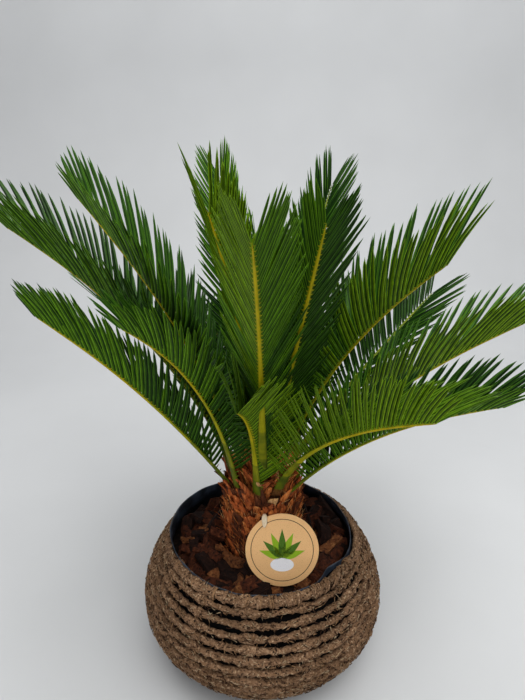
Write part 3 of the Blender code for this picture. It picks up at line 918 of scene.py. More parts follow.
@dataclass
class Foliage:
    """All fronds: ribs, leaflets and the spines on their bare feet."""

    rule: FrondRule = field(default_factory=FrondRule)
    spacing: float = 0.0050
    half_width: float = 0.0020
    louver: float = math.radians(14.0)
    upright: float = 33.0
    # Shares of a frond's length below which leaflets of upright fronds step one and then two tones darker:
    # painted shade deep in the crown.
    shaded: tuple[float, float] = (0.25, 0.65)
    deepest: tuple[float, float] = (0.14, 0.46)
    forward: float = 0.16
    sag: float = 0.10
    rings: tuple[float, ...] = (0.0, 0.024, 0.18, 0.45, 0.72, 0.90)
    widths: tuple[float, ...] = (0.50, 0.74, 1.0, 1.0, 0.88, 0.54)
    broad_below: float = 0.20
    broad: float = 1.30
    section: tuple[tuple[float, float], ...] = (
        (-1.0, -0.34), (-0.70, 0.0), (0.0, -0.12), (0.70, 0.0),
        (1.0, -0.34), (0.68, -0.28), (0.0, -0.44), (-0.68, -0.28),
    )
    # Each face of the section, in its order: the margins take the painted highlight and one half of each
    # side the painted shade, which draw light and dark lines along every leaflet.
    shown: tuple[Leaf, ...] = (
        Leaf.MARGIN, Leaf.TOP, Leaf.SHADE, Leaf.TOP, Leaf.MARGIN, Leaf.UNDER, Leaf.SHADE, Leaf.MARGIN,
    )
    rib_section: tuple[tuple[float, float], ...] = (
        (1.0, 0.0), (0.85, 0.55), (0.40, 0.85), (0.0, 0.65), (-0.40, 0.85),
        (-0.85, 0.55), (-1.0, 0.0), (-0.72, -0.70), (0.0, -1.05), (0.72, -0.70),
    )
    size_knots: tuple[tuple[float, ...], ...] = ((0, 0.1, 0.8, 1), (0.8, 1.0, 1.0, 0.62))
    foot_across: float = 0.60
    foot_over: float = 0.35
    stagger: float = 0.25
    place_play: float = 0.06
    spread_play: float = 1.6
    fold_play: float = 2.5
    roll_play: float = 6.0
    length_play: float = 0.025
    width_play: float = 0.04
    dense_below: float = 0.16
    stalk_end: float = 0.985
    stalk_flare: float = 0.25
    flare_reach: float = 0.03
    stalk_slim: tuple[tuple[float, ...], ...] = ((0.0, 0.9, 1.0), (1.0, 1.0, 0.4))
    stalk_fuller: tuple[tuple[float, ...], ...] = ((0.0, 0.12, 0.35, 0.65), (1.95, 1.85, 1.30, 0.76))
    brown_below: float = 0.045
    olive_below: float = 0.16
    amid_below: float = 0.28
    gold_above: float = 0.52
    spine_pairs: int = 4
    spines_from: float = 0.07
    spine_lean: tuple[float, float] = (0.75, 0.35)
    spine_length: tuple[float, float] = (0.0035, 0.013)
    spine_thick: tuple[float, float] = (0.0007, 0.0005)
    seed: int = 11

    def finishes(self) -> list[Material]:
        """Upper and under finishes, a margin finish of painted highlight and a finish of painted shade for
        each tone, then the stalks'.
        """
        fresh = (rgb(63, 96, 8), rgb(81, 114, 13), rgb(70, 97, 4), rgb(88, 117, 7))
        green = (rgb(45, 84, 13), rgb(58, 100, 18), rgb(52, 86, 5), rgb(67, 102, 8))
        deep = (rgb(30, 62, 12), rgb(44, 80, 18), rgb(27, 56, 4), rgb(42, 74, 8))
        rows = []
        for tone, (top, top_light, under, under_light) in zip(Tone, (fresh, green, deep)):
            word = tone.name.lower()
            # Painted highlight on the rolled margins: paler copies of the under colour.
            pale = [tuple(min(1.0, value * k + 0.004) for value in under_light) for k in (1.6, 2.6)]
            # Painted shade: darker, less red copies of the under colour.
            dark = [(under[0] * k * 0.6, under[1] * k, under[2] * k) for k in (0.26, 0.46)]
            rows += [
                (f"leaflet_top_{word}", top, top_light, 0.42, 120, 0.22),
                (f"leaflet_under_{word}", under, under_light, 0.6, 120, 0.08),
                (f"leaflet_margin_{word}", *pale, 0.55, 150, 0.10),
                (f"leaflet_shade_{word}", *dark, 0.55, 120, 0.10),
            ]
        rows += [
            ("stalk_under", rgb(140, 138, 6), rgb(162, 156, 12), 0.5, 60, 0.12),
            ("stalk_top", rgb(88, 108, 14), rgb(112, 124, 20), 0.5, 60, 0.15),
            ("stalk_gold", rgb(164, 150, 8), rgb(184, 166, 16), 0.5, 60, 0.12),
            ("stalk_olive", rgb(62, 78, 13), rgb(98, 108, 20), 0.5, 90, 0.12),
            ("stalk_amid", rgb(98, 106, 11), rgb(128, 130, 17), 0.5, 90, 0.12),
        ]
        made = [LeafFinish(*row).build() for row in rows]
        foot = dry({"stalk_foot": ((62, 36, 16), (120, 76, 36), (150, 110, 52))}, 700.0)
        return made[: Stalk.FOOT] + foot + made[Stalk.FOOT :]

    def leaflets(self, frond: Frond, rib: Rib, gathered: Gathered, rng: np.random.RandomState) -> None:
        """Adds a frond's leaflets.

        Args:
            frond: The frond.
            rib: Its rib.
            gathered: What they are added to.
            rng: The seeded random numbers.
        """
        rule = self.rule
        pairs = round(frond.length * (1 - rule.bare) / self.spacing)
        leafy = np.repeat((np.arange(pairs) + 0.5) / pairs, 2)
        sign = np.tile([1.0, -1.0], pairs)
        count = 2 * pairs
        play = rng.normal(0, self.place_play / pairs, count)
        leafy = np.clip(leafy + sign * self.stagger / pairs + play, 0, 1)
        place = rib.at(rule.bare + (1 - rule.bare) * leafy)
        half_width, half_height = rule.rib_half(place.share)
        spread = (rule.spread[0] + (rule.spread[1] - rule.spread[0]) * leafy) * frond.spread
        spread = spread + np.radians(rng.normal(0, self.spread_play, count)) + self.forward / 2
        fold = np.radians(frond.fold + rng.normal(0, self.fold_play, count)) + self.sag / 2
        side = times(place.side, sign)
        outward = times(side, np.cos(fold)) + times(place.up, np.sin(fold))
        run = times(place.along, np.cos(spread)) + times(outward, np.sin(spread))
        play = 1 + rng.normal(0, self.length_play, count)
        length = frond.leaflet * rule.leaflet_share(leafy, frond.tip) * play
        foot = place.point + times(side, half_width * self.foot_across)
        foot = foot + times(place.up, half_height * self.foot_over)
        wide = unit(place.along - times(run, np.einsum("ki,ki->k", place.along, run)))
        normal = times(unit(np.cross(run, wide)), sign)
        bend = wide * self.forward - normal * self.sag
        u = np.array([*self.rings, 1.0])
        centres = bowed(foot, run, bend, length, u)
        tangent = unit(run[:, None] + bend[:, None] * u[None, :-1, None])
        play = np.radians(rng.normal(0, self.roll_play, count))
        roll = (self.louver * frond.turn + play)[:, None, None]
        across = unit(
            wide[:, None] - tangent * np.einsum("ki,kji->kj", wide, tangent)[:, :, None]
        )
        over = np.cross(tangent, across) * sign[:, None, None]
        across, over = rotated(across, over, -roll)
        size = self.half_width * np.interp(leafy, *self.size_knots)
        if frond.length < self.broad_below:
            size = size * self.broad
        size = size * (1 + rng.normal(0, self.width_play, count))
        scale = size[:, None, None] * np.array(self.widths)[:, None]
        points, faces = swept(centres, across * scale, over * scale, np.array(self.section))
        # Painted shade: leaflets low on upright fronds step one or two tones darker, and those on the
        # frond's shaded side one tone more.
        steps_down = (leafy < rng.uniform(*self.shaded, count)).astype(int)
        steps_down = steps_down + (leafy < rng.uniform(*self.deepest, count))
        steps_down = steps_down * (frond.rise_tip > self.upright) + (sign == frond.dim)
        tone = np.minimum(frond.tone.value + steps_down, Tone.DEEP.value)
        first = len(Leaf) * tone[:, None]
        around = first + np.array(self.shown)
        side_finish = np.tile(around, (1, len(self.rings) - 1))
        half = len(self.section) // 2
        side_finish[:, half : 2 * half] = Stalk.UNDER
        gathered.add(points, faces, [side_finish, around, first + Leaf.UNDER])

    def stalk(self, frond: Frond, rib: Rib, gathered: Gathered) -> None:
        """Adds a frond's rib, flared at its foot.

        Args:
            frond: Not used.
            rib: Its rib.
            gathered: What it is added to.
        """
        foot = np.linspace(0, self.dense_below, 10)[:-1]
        share = np.concatenate([foot, np.linspace(self.dense_below, self.stalk_end, 44)])
        place = rib.at(share)
        half_width, half_height = self.rule.rib_half(share)
        flare = 1 + self.stalk_flare * np.exp(-share / self.flare_reach)
        slim = np.interp(share, *self.stalk_slim)
        fuller = np.interp(share, *self.stalk_fuller)
        wide = times(place.side, half_width * flare * slim * fuller)
        tall = times(place.up, half_height * (1 + (flare - 1) * 0.5) * slim * 1.1)
        centres = np.concatenate([place.point, rib.point[-1:]])
        points, faces = swept(centres[None], wide[None], tall[None], np.array(self.rib_section))
        around = np.array([Stalk.TOP] * 6 + [Stalk.UNDER] * 4)
        side_finish = np.tile(around, len(share) - 1)
        side_finish[: int(np.sum(share < self.brown_below)) * len(around)] = Stalk.FOOT
        at = np.repeat(share[:-1], len(around))
        under = side_finish == Stalk.UNDER
        side_finish[under & (at > self.gold_above)] = Stalk.GOLD
        side_finish[under & (at < self.amid_below)] = Stalk.AMID
        side_finish[under & (at < self.olive_below)] = Stalk.OLIVE
        gathered.add(points, faces, [side_finish, around, np.array([Stalk.FOOT])])

    def spines(self, frond: Frond, rib: Rib, gathered: Gathered, rng: np.random.RandomState) -> None:
        """Adds the short spines on a frond's bare foot.

        Args:
            frond: Not used.
            rib: Its rib.
            gathered: What they are added to.
            rng: The seeded random numbers.
        """
        last = self.rule.bare - 0.006
        share = np.repeat(np.linspace(self.spines_from, last, self.spine_pairs), 2)
        sign = np.tile([1.0, -1.0], self.spine_pairs)
        count = len(share)
        share = share + rng.normal(0, 0.003, count)
        place = rib.at(share)
        half_width, _ = self.rule.rib_half(share)
        side = times(place.side, sign)
        run = unit(side + place.along * self.spine_lean[0] + place.up * self.spine_lean[1])
        length = np.interp(share, (0.05, self.rule.bare), self.spine_length)
        length = length * (1 + rng.normal(0, 0.15, count))
        foot = place.point + times(side, half_width * 1.5)
        centres = bowed(foot, run, np.zeros_like(run), length, np.array([0.0, 0.5, 1.0]))
        wide = unit(np.cross(run, place.up))
        over = np.cross(run, wide)
        scale = np.array(self.spine_thick)[None, :, None]
        square = np.array([(1, 0), (0, 0.7), (-1, 0), (0, -0.7)])
        points, faces = swept(centres, wide[:, None] * scale, over[:, None] * scale, square)
        finishes = [np.array([kind]) for kind in (Stalk.TOP, Stalk.FOOT, Stalk.TOP)]
        gathered.add(points, faces, finishes)

    def build(self) -> None:
        """Makes every frond, joined by kind and by quarter, in place of the nodes."""
        finishes = self.finishes()
        rng = np.random.RandomState(self.seed)
        for quarter in Quarter:
            fronds = [frond for frond in table() if frond.quarter is quarter]
            blades, stalks, spikes = Gathered(), Gathered(), Gathered()
            for frond in fronds:
                rib = self.rule.rib(frond)
                self.leaflets(frond, rib, blades, rng)
                self.stalk(frond, rib, stalks)
                self.spines(frond, rib, spikes, rng)
            nodes = [frond.node for frond in fronds]
            leaves = dress(blades.build(f"leaflets_{quarter.value}"), "leaf", *finishes)
            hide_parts(*nodes)
            ribs = dress(stalks.build(f"ribs_{quarter.value}"), "leaf", *finishes)
            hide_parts(*nodes)
            dress(spikes.build(f"spines_{quarter.value}"), "leaf", *finishes)


# ----------------------------------------------------------------- basket


@dataclass
class Wall:
    """The basket's outer curve, as the source draws it."""

    start_radius: float = 0.034
    widest_radius: float = 0.1345
    widest_height: float = 0.070
    rim_radius: float = 0.1075
    rim_height: float = 0.139
    foot_height: float = 0.005
    samples: int = 400

    def radius(self, height: float) -> float:
        """The outer radius at a height."""
        if height < self.widest_height:
            drop = (self.widest_height - height) / self.widest_height
            return self.start_radius + (self.widest_radius - self.start_radius) * math.sqrt(1 - drop**2)
        climb = (height - self.widest_height) / (self.rim_height - self.widest_height)
        return self.widest_radius - (self.widest_radius - self.rim_radius) * climb**2

    def at(self, shares: np.ndarray) -> tuple[np.ndarray, np.ndarray]:
        """Places on the curve, which runs on straight above the rim.

        Args:
            shares: Shares of its length from the rim down, below 0 above the rim.

        Returns:
            (radius, height) points and outward directions, each (places, 2).
        """
        heights = np.linspace(self.rim_height, self.foot_height, self.samples + 1)
        curve = np.array([(self.radius(float(height)), height) for height in heights])
        steps = np.linalg.norm(np.diff(curve, axis=0), axis=1)
        reach = np.concatenate([[0], np.cumsum(steps)])
        wanted = np.maximum(shares, 0.0) * reach[-1]
        above = np.minimum(shares, 0.0) * reach[-1]

        def between(values: np.ndarray) -> np.ndarray:
            """Both columns at the wanted places."""
            return np.stack([np.interp(wanted, reach, values[:, i]) for i in range(2)], 1)

        run = unit(between(unit(np.gradient(curve, axis=0))))
        return between(curve) + times(run, above), np.stack([-run[:, 1], run[:, 0]], 1)


@dataclass
class Basket:
    """Rows of chunky plant rope, tied at columns and open between them."""

    wall: Wall = field(default_factory=Wall)
    rows: int = 15
    around: int = 760
    section: int = 20
    thickness: float = 0.0088
    open_half: float = 0.0025
    tied_half: float = 0.0050
    lower_rows: tuple[float, float] = (4, 10)
    lower_open: float = 0.58
    lower_tied: float = 0.92
    wobble: float = 0.9
    sway: float = 0.0005
    rolled_within: tuple[float, float] = (58.0, 86.0)
    rim_place: float = 0.58
    rim_half: tuple[float, float] = (0.0047, 0.0004)
    rim_flat: float = 0.80
    rim_drop: float = 0.0075
    tie: float = 4.6
    reliefs: tuple[tuple[float, float], ...] = ((0.0110, 0.0022), (0.0050, 0.0030), (0.0024, 0.0020))
    twist: float = 0.0007
    strands: int = 74
    columns: int = 13
    first_column: float = math.radians(-34.0)
    loose: int = 9000
    bands: int = 46
    strand_gap: float = 0.0125
    strand_thick: tuple[float, float] = (0.0004, 0.0009)
    wrap_half: float = 0.0054
    hair: tuple[float, ...] = (0.00042, 0.00040, 0.00030)
    hair_length: tuple[float, float] = (0.0025, 0.0060)
    hair_girth: tuple[float, float] = (0.6, 1.5)
    coil: float = 0.0092
    coil_top: float = 0.0085
    seed: int = 5

    def rolled(self, angle: np.ndarray) -> np.ndarray:
        """How far the rim is rolled over the film at angles: 1 in front, 0 at the back."""
        from_front = np.abs(off_heading(angle, -90.0))
        return np.interp(from_front, np.radians(self.rolled_within), (1.0, 0.0))

    def row(self, index: int, rng: random.Random) -> Piece:
        """Models one row of rope.

        Args:
            index: The row, from the rim down; -1 is the roll on the rim.
            rng: The seeded random numbers.

        Returns:
            The new row.
        """
        rim = index < 0
        place = self.rim_place if rim else 0.5
        points, normals = self.wall.at(np.array([(index + place) / self.rows]))
        point, normal = points[0], normals[0]
        run = np.array([-normal[1], normal[0]])
        rope = ring(float(point[0]), float(point[1]), self.thickness, self.around, self.section)
        where = vertices(rope)
        angle = np.arctan2(where[:, 1], where[:, 0])
        thick = self.thickness / 2
        outward = (np.hypot(where[:, 0], where[:, 1]) - point[0]) / thick
        upward = (where[:, 2] - point[1]) / thick
        wobble = waves(rng, angle, (3, 5, 8, 13, 21), 0.2, 1)
        phase = self.columns * (angle + math.pi / 2 - self.first_column) + self.wobble * wobble
        tied = (0.5 + 0.5 * np.cos(phase)) ** self.tie
        open_half, tied_half = (
            half * float(np.interp(index, self.lower_rows, (1.0, lower)))
            for half, lower in ((self.open_half, self.lower_open), (self.tied_half, self.lower_tied))
        )
        half = open_half + (tied_half - open_half) * tied
        if rim:
            half = self.rim_half[0] + self.rim_half[1] * tied
        strand = self.twist * np.sin(self.strands * angle + 2 * np.arctan2(upward, outward))
        deep = thick * (self.rim_flat if rim else 1 - 0.10 * tied) + strand
        shift = self.sway * waves(rng, angle, (4, 9, 17), 0.3, 0)
        across = outward * deep - thick * (self.rim_flat if rim else 1.0)
        along = upward * (half + strand) + shift
        if rim:
            along = along - (1 - self.rolled(angle)) * self.rim_drop
        new_radius = point[0] + normal[0] * across + run[0] * along
        new_height = point[1] + normal[1] * across + run[1] * along
        move_vertices(rope, times(compass(angle)[0], new_radius) + times(UP[None], new_height))
        displace(rope, *self.reliefs)
        bpy.ops.object.shade_smooth()
        return rope

    def fibres(self, rng: np.random.RandomState) -> Piece:
        """Lays loose fibres along the ropes, some with a lifted end.

        Args:
            rng: The seeded random numbers.

        Returns:
            The new piece.
        """
        count = self.loose
        row = rng.randint(-1, self.rows, count)
        off = rng.uniform(-0.30, 0.30, count)
        angle = rng.uniform(0, 2 * math.pi, count)
        row = np.where(self.rolled(angle) < 0.6, np.maximum(row, 0), row)
        points, normals = self.wall.at((row + 0.5 + off) / self.rows)
        out, around = compass(angle)
        outward = out * normals[:, 0:1] + UP * normals[:, 1:2]
        climb = np.cross(outward, around)
        start = out * points[:, 0:1] + UP * points[:, 1:2]
        start = start + times(outward, rng.uniform(-0.0002, 0.0010, count) - 0.011 * off**2)
        lay = rng.normal(0, 0.7, count)
        way = rng.choice((-1.0, 1.0), count)
        run = times(around, way * np.cos(lay)) + times(climb, np.sin(lay))
        length = rng.uniform(*self.hair_length, count)
        lift = rng.uniform(0, 1, count) ** 3 * 0.5 - length / points[:, 0]
        bend = times(outward, lift) + times(np.cross(run, outward), rng.normal(0, 1.1, count))
        centres = bowed(start, run, bend, length, np.array([0.0, 0.35, 0.7, 1.0]))
        thick = np.array(self.hair) * rng.uniform(*self.hair_girth, count)[:, None]
        points, faces = hairs(centres, run, outward, thick)
        kinds = rng.choice((1, 2, 3), count, p=(0.36, 0.46, 0.18))
        return gathered_once("basket_fibres", points, faces, kinds)

    def wraps(self, rng: np.random.RandomState) -> Piece:
        """Winds rough bands of fibre over the rim row.

        Args:
            rng: The seeded random numbers.

        Returns:
            The new piece.
        """
        points, normals = self.wall.at(np.array([-0.42 / self.rows]))
        (radius, height), normal = points[0] - normals[0] * self.thickness * 0.4, normals[0]
        run = np.array([-normal[1], normal[0]])
        turns = np.linspace(0, 2 * math.pi, 15)[:-1]
        gathered = Gathered()
        sides = 6
        section = [(math.cos(t), math.sin(t)) for t in np.arange(sides) * math.pi / 3]
        for band in range(self.bands):
            middle = 2 * math.pi * (band + rng.uniform(-0.25, 0.25)) / self.bands
            if self.rolled(np.array([middle]))[0] < 0.9:
                continue
            lean = rng.normal(0, 0.35)
            for strand in range(rng.randint(3, 8)):
                turn = middle + strand * self.strand_gap + rng.normal(0, 0.004)
                thick = rng.uniform(*self.strand_thick)
                wide = self.wrap_half + thick * 0.5
                deep = self.thickness * 0.4 + 0.0007 + thick * 0.5
                loop = []
                for place in turns:
                    out_step = math.cos(place) * deep * (1 + rng.normal(0, 0.08))
                    up_step = math.sin(place) * wide * (1 + rng.normal(0, 0.05))
                    level = np.array([radius, height]) + normal * out_step - run * up_step
                    angle = turn + lean * up_step / radius
                    outward = normal * math.cos(place) - run * math.sin(place)
                    for along, over in section:
                        grown = level + outward * over * thick
                        at = angle + along * thick * 1.5 / radius
                        loop.append((grown[0] * math.cos(at), grown[0] * math.sin(at), grown[1]))
                faces = []
                for i in range(len(turns)):
                    here, after = sides * i, sides * ((i + 1) % len(turns))
                    for k in range(sides):
                        beside = (k + 1) % sides
                        faces.append((here + k, after + k, after + beside, here + beside))
                kind = int(rng.choice((0, 0, 0, 2)))
                gathered.add(np.array(loop)[None], [np.array(faces)], [np.array([kind])])
        return gathered.build("basket_wraps")

    def base(self) -> Piece:
        """Models the coiled rope under the basket, flat on the ground."""
        radii = np.arange(0.066, 0.004, -0.0085)
        coils = [ring(float(radius), self.coil / 2, self.coil, 160, 12) for radius in radii]
        coil = join(coils, "basket_base")
        displace(coil, (0.003, 0.0014))
        where = vertices(coil)
        where[:, 2] = np.clip(where[:, 2], 0.0, self.coil_top)
        move_vertices(coil, where)
        bpy.ops.object.shade_smooth()
        return coil

    def build(self) -> None:
        """Makes the ropes in four groups, in place of the node, with base, fibres and wraps."""
        rope = FibreFinish(
            "rope", rgb(16, 6, 3), rgb(137, 105, 79), rgb(200, 170, 138), 480.0, (1, 1, 1.3),
            relief=0.0010, roughness=0.95,
        ).build()
        shades = dry(
            {
                "fibre_dark": ((28, 12, 6), (66, 42, 28), (98, 72, 52)),
                "fibre_brown": ((96, 64, 42), (150, 116, 84), (178, 144, 110)),
                "fibre_pale": ((140, 116, 88), (188, 164, 132), (212, 192, 164)),
            },
            600.0,
        )
        rng = random.Random(self.seed)
        made = [self.row(index, rng) for index in range(-1, self.rows)]
        quarter = len(made) // 4
        for number, word in enumerate(("rim", "top", "middle", "low")):
            group = join(made[number * quarter : (number + 1) * quarter], f"basket_ropes_{word}")
            dress(group, "rope", rope)
            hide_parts("basket")
        dress(self.base(), "rope", rope)
        loose = np.random.RandomState(self.seed)
        dress(self.fibres(loose), "rope", rope, *shades)
        dress(self.wraps(loose), "rope", rope, *shades)


@dataclass
class Liner:
    """The black film between the basket and its filling, with a crumpled lip."""

    wall: Wall = field(default_factory=Wall)
    inset: float = 0.0094
    lip: float = 0.0075
    floor_height: float = 0.0087
    floor_inset: float = 0.006
    lowest_ring: float = 0.014
    crumpled: float = 0.014
    crumple: float = 0.0011
    crumple_height: float = 0.0013
    front_drop: float = 0.0012
    fold_heading: float = 47.0
    fold_half: float = 9.0
    fold_depth: float = 0.0070
    flare_heading: float = 172.0
    flare_half: float = 46.0
    flare_out: float = 0.0050
    flare_up: float = 0.0045
    thickness: float = 0.0006
    steps: int = 220
    seed: int = 3

    def build(self) -> None:
        """Makes the film in place of the node."""
        points, normals = self.wall.at(np.linspace(0, 1, 16))
        inside = points - normals * self.inset
        inside = inside[inside[:, 1] > self.lowest_ring][::-1]
        profile = [(inside[0][0] - self.floor_inset, self.floor_height)]
        profile += [(float(r), float(z)) for r, z in inside]
        top = self.wall.rim_radius - self.inset
        rim = self.wall.rim_height
        profile += [(top, rim + self.lip * share) for share in (0.25, 0.5, 0.75, 1.0)]
        film = turned("liner_film", profile, self.steps, False)
        where = vertices(film)
        angle = np.arctan2(where[:, 1], where[:, 0])
        crumple = waves(random.Random(self.seed), angle, (5, 9, 14, 23, 37), 0.4, 0.5)
        low = rim - self.crumpled
        high = np.clip((where[:, 2] - low) / (rim + self.lip - low), 0, 1)
        from_front = off_heading(angle, -90.0)
        front = np.interp(np.abs(from_front), np.radians((0.0, 28.0, 62.0)), (1.0, 0.9, 0.0))
        where[:, 2] -= high * front * self.front_drop
        from_fold = from_front - math.radians(self.fold_heading)
        fold = np.exp(-((from_fold / math.radians(self.fold_half)) ** 2))
        from_flare = off_heading(angle, self.flare_heading)
        flare = np.exp(-((from_flare / math.radians(self.flare_half)) ** 2))
        outwards = self.crumple * crumple - self.fold_depth * fold
        change = high * (outwards + self.flare_out * high * flare)
        change = change * (np.hypot(where[:, 0], where[:, 1]) > 0.05)
        where = where + times(compass(angle)[0], change)
        where[:, 2] += high**3 * self.crumple_height * np.roll(crumple, 3)
        where[:, 2] += high**2 * self.flare_up * flare
        move_vertices(film, where)
        modify(film, "SOLIDIFY", thickness=self.thickness, offset=-1.0)
        bpy.ops.object.shade_smooth()
        finish = FilmFinish("liner_film", rgb(24, 31, 40), rgb(60, 72, 90)).build()
        # A near-black copy of the film: painted shade for the film seen through the slits between the
        # ropes.
        shaded = FilmFinish("liner_film_shaded", rgb(4, 3, 3), rgb(14, 12, 12), 0.8, 0.1).build()
        dress(film, "liner", finish, shaded)
        # Outward faces below the rim, behind the ropes, take the painted-shade copy.
        for face in film.data.polygons:
            outward = face.normal.x * face.center.x + face.normal.y * face.center.y > 0
            face.material_index = int(outward and face.center.z < rim - 0.002)
        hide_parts("liner")


# ---------------------------------------------------------------- filling


@dataclass
class Lie:
    """How each chip lies: its place, its half sizes and its angles."""

    radius: np.ndarray
    angle: np.ndarray
    height: np.ndarray
    half: np.ndarray
    heading: np.ndarray
    pitch: np.ndarray
    bank: np.ndarray


@dataclass
class Mulch:
    """Bark chips heaped on a near-black bed, between the trunk and the liner; the bed's colour is painted
    shade in the gaps between the chips.
    """

    trunk_radius: float = 0.0405
    rim_radius: float = 0.0965
    height_at_trunk: float = 0.1300
    height_at_rim: float = 0.1245
    low: float = 0.1123
    chips: int = 150
    bed_depth: float = 0.0060
    sunk: float = 0.0065
    heap: float = 0.0100
    half_length: tuple[float, float] = (0.0105, 0.0215)
    half_width: tuple[float, float] = (0.0046, 0.0094)
    half_thick: tuple[float, float] = (0.0026, 0.0052)
    card_foot: tuple[float, float] = (0.026, -0.072)
    card_clear: float = 0.030
    card_drop: float = 0.0080
    back_rise: float = 0.0045
    left_rise: float = 0.0050
    seed: int = 21

    def surface(self, radius: np.ndarray) -> np.ndarray:
        """The bed's height at a distance from the axis."""
        share = (radius - self.trunk_radius) / (self.rim_radius - self.trunk_radius)
        return self.height_at_trunk + (self.height_at_rim - self.height_at_trunk) * share

    def bed(self) -> Piece:
        """Models the bed that shows between the chips, near black as painted shade."""
        radii = np.linspace(self.rim_radius, self.trunk_radius + 0.0005, 9)
        heights = self.surface(radii) - self.bed_depth
        profile = [(float(radii[0]), self.low), *zip(radii.tolist(), heights.tolist())]
        bed = turned("mulch_bed", profile, 160, True)
        displace(bed, (0.008, 0.004))
        where = vertices(bed)
        where[:, 2] = np.maximum(where[:, 2], self.low)
        move_vertices(bed, where)
        bpy.ops.object.shade_smooth()
        return bed

    def lay(self, rng: np.random.RandomState) -> Lie:
        """Heaps the chips on the bed.

        Args:
            rng: The seeded random numbers.

        Returns:
            How each chip lies.
        """
        count = self.chips
        share = (np.arange(count) + 0.5) / count
        inner, outer = self.trunk_radius + 0.006, self.rim_radius - 0.006
        radius = np.sqrt(inner**2 + (outer**2 - inner**2) * rng.permutation(share))
        angle = np.arange(count) * GOLDEN_ANGLE + rng.normal(0, 0.12, count)
        cos, sin = np.cos(angle), np.sin(angle)
        height = self.surface(radius) - self.sunk + rng.uniform(0, 1, count) * self.heap
        away = np.hypot(radius * cos - self.card_foot[0], radius * sin - self.card_foot[1])
        height = height - self.card_drop * (away < self.card_clear)
        height = height + self.back_rise * np.clip(sin + 0.3, 0, 1)
        beside = np.exp(-(((radius - self.trunk_radius - 0.008) / 0.012) ** 2))
        height = height + self.left_rise * beside * np.clip(-cos, 0, 1)
        sizes = (self.half_length, self.half_width, self.half_thick)
        half = np.stack([rng.uniform(*size, count) for size in sizes], 1)
        heading = rng.uniform(0, 2 * math.pi, count)
        edge = np.minimum(self.rim_radius - radius, radius - self.trunk_radius)
        along_rim = angle + math.pi / 2 + rng.normal(0, 0.25, count)
        heading = np.where(edge < half[:, 0], along_rim, heading)
        pitch = rng.normal(0, 0.28, count)
        bank = rng.normal(0, 0.55, count)
        # One chip leans on the peg's foot.
        half[0] = (0.0095, 0.0070, 0.0024)
        radius[0], angle[0], height[0] = 0.0726, -math.pi / 2, 0.1262
        heading[0], pitch[0], bank[0] = 0.1, 0.05, 0.95
        return Lie(radius, angle, height, half, heading, pitch, bank)

    def shaped(self, lie: Lie, blank: np.ndarray, rng: np.random.RandomState) -> np.ndarray:
        """Gives each chip its own form, and puts it in its place.

        Args:
            lie: How each chip lies.
            blank: The points that every chip starts from.
            rng: The seeded random numbers.

        Returns:
            The points, (chips, points, 3).
        """
        x, y, z = (blank[None, :, i] for i in range(3))
        long, wide, thick = (lie.half[:, i : i + 1] for i in range(3))
        corner = (x**4 + y**4) / 2
        phase = rng.uniform(0, PHASE_RANGE, (self.chips, 6, 1))
        outline = 1 + 0.10 * np.sin(2.3 * x + phase[:, 0]) * np.sin(2.9 * y + phase[:, 1])
        px = long * x * (1 - 0.07 * corner) * outline
        py = wide * y * (1 - 0.07 * corner) * (1 + 0.22 * np.sin(1.9 * x + phase[:, 2]))
        rough = 0.13 * np.sin(4.1 * x + phase[:, 3]) * np.sin(3.7 * y + phase[:, 4])
        arch = 0.30 * long * (0.5 - x**2) * np.sin(phase[:, 5])
        pz = thick * z * (1 - 0.12 * corner) * (1 + rough) + arch
        py, pz = rotated(py, pz, lie.bank[:, None])
        px, pz = rotated(px, pz, lie.pitch[:, None])
        px, py = rotated(px, py, lie.heading[:, None])
        px = px + (lie.radius * np.cos(lie.angle))[:, None]
        py = py + (lie.radius * np.sin(lie.angle))[:, None]
        reach = np.hypot(px, py)
        inward = np.clip(reach, self.trunk_radius - 0.004, self.rim_radius - 0.0005) / reach
        return np.stack([px * inward, py * inward, pz + lie.height[:, None]], 2)

    def build(self) -> None:
        """Makes the bed and the chips, in place of the node."""
        bark = dry(
            {
                "chip_dark": ((8, 3, 2), (32, 14, 8), (60, 33, 20)),
                "chip_red": ((22, 9, 4), (70, 33, 17), (110, 60, 34)),
                "chip_tan": ((50, 25, 12), (114, 68, 38), (154, 104, 62)),
            },
            300.0,
        )
        # Painted shade: the bed's near-black finish darkens the gaps between the chips.
        dark = dry({"mulch_dark": ((8, 4, 3), (22, 12, 8), (36, 21, 14))}, 340.0)
        dress(self.bed(), "mulch", *dark)
        rng = np.random.RandomState(self.seed)
        blank, faces = block()
        points = self.shaped(self.lay(rng), blank, rng)
        kinds = rng.choice(3, self.chips, p=(0.48, 0.41, 0.11))
        chips = dress(gathered_once("bark_chips", points, [faces], kinds, False), "mulch", *bark)
        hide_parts("bark_mulch")


# ------------------------------------------------------------------ trunk


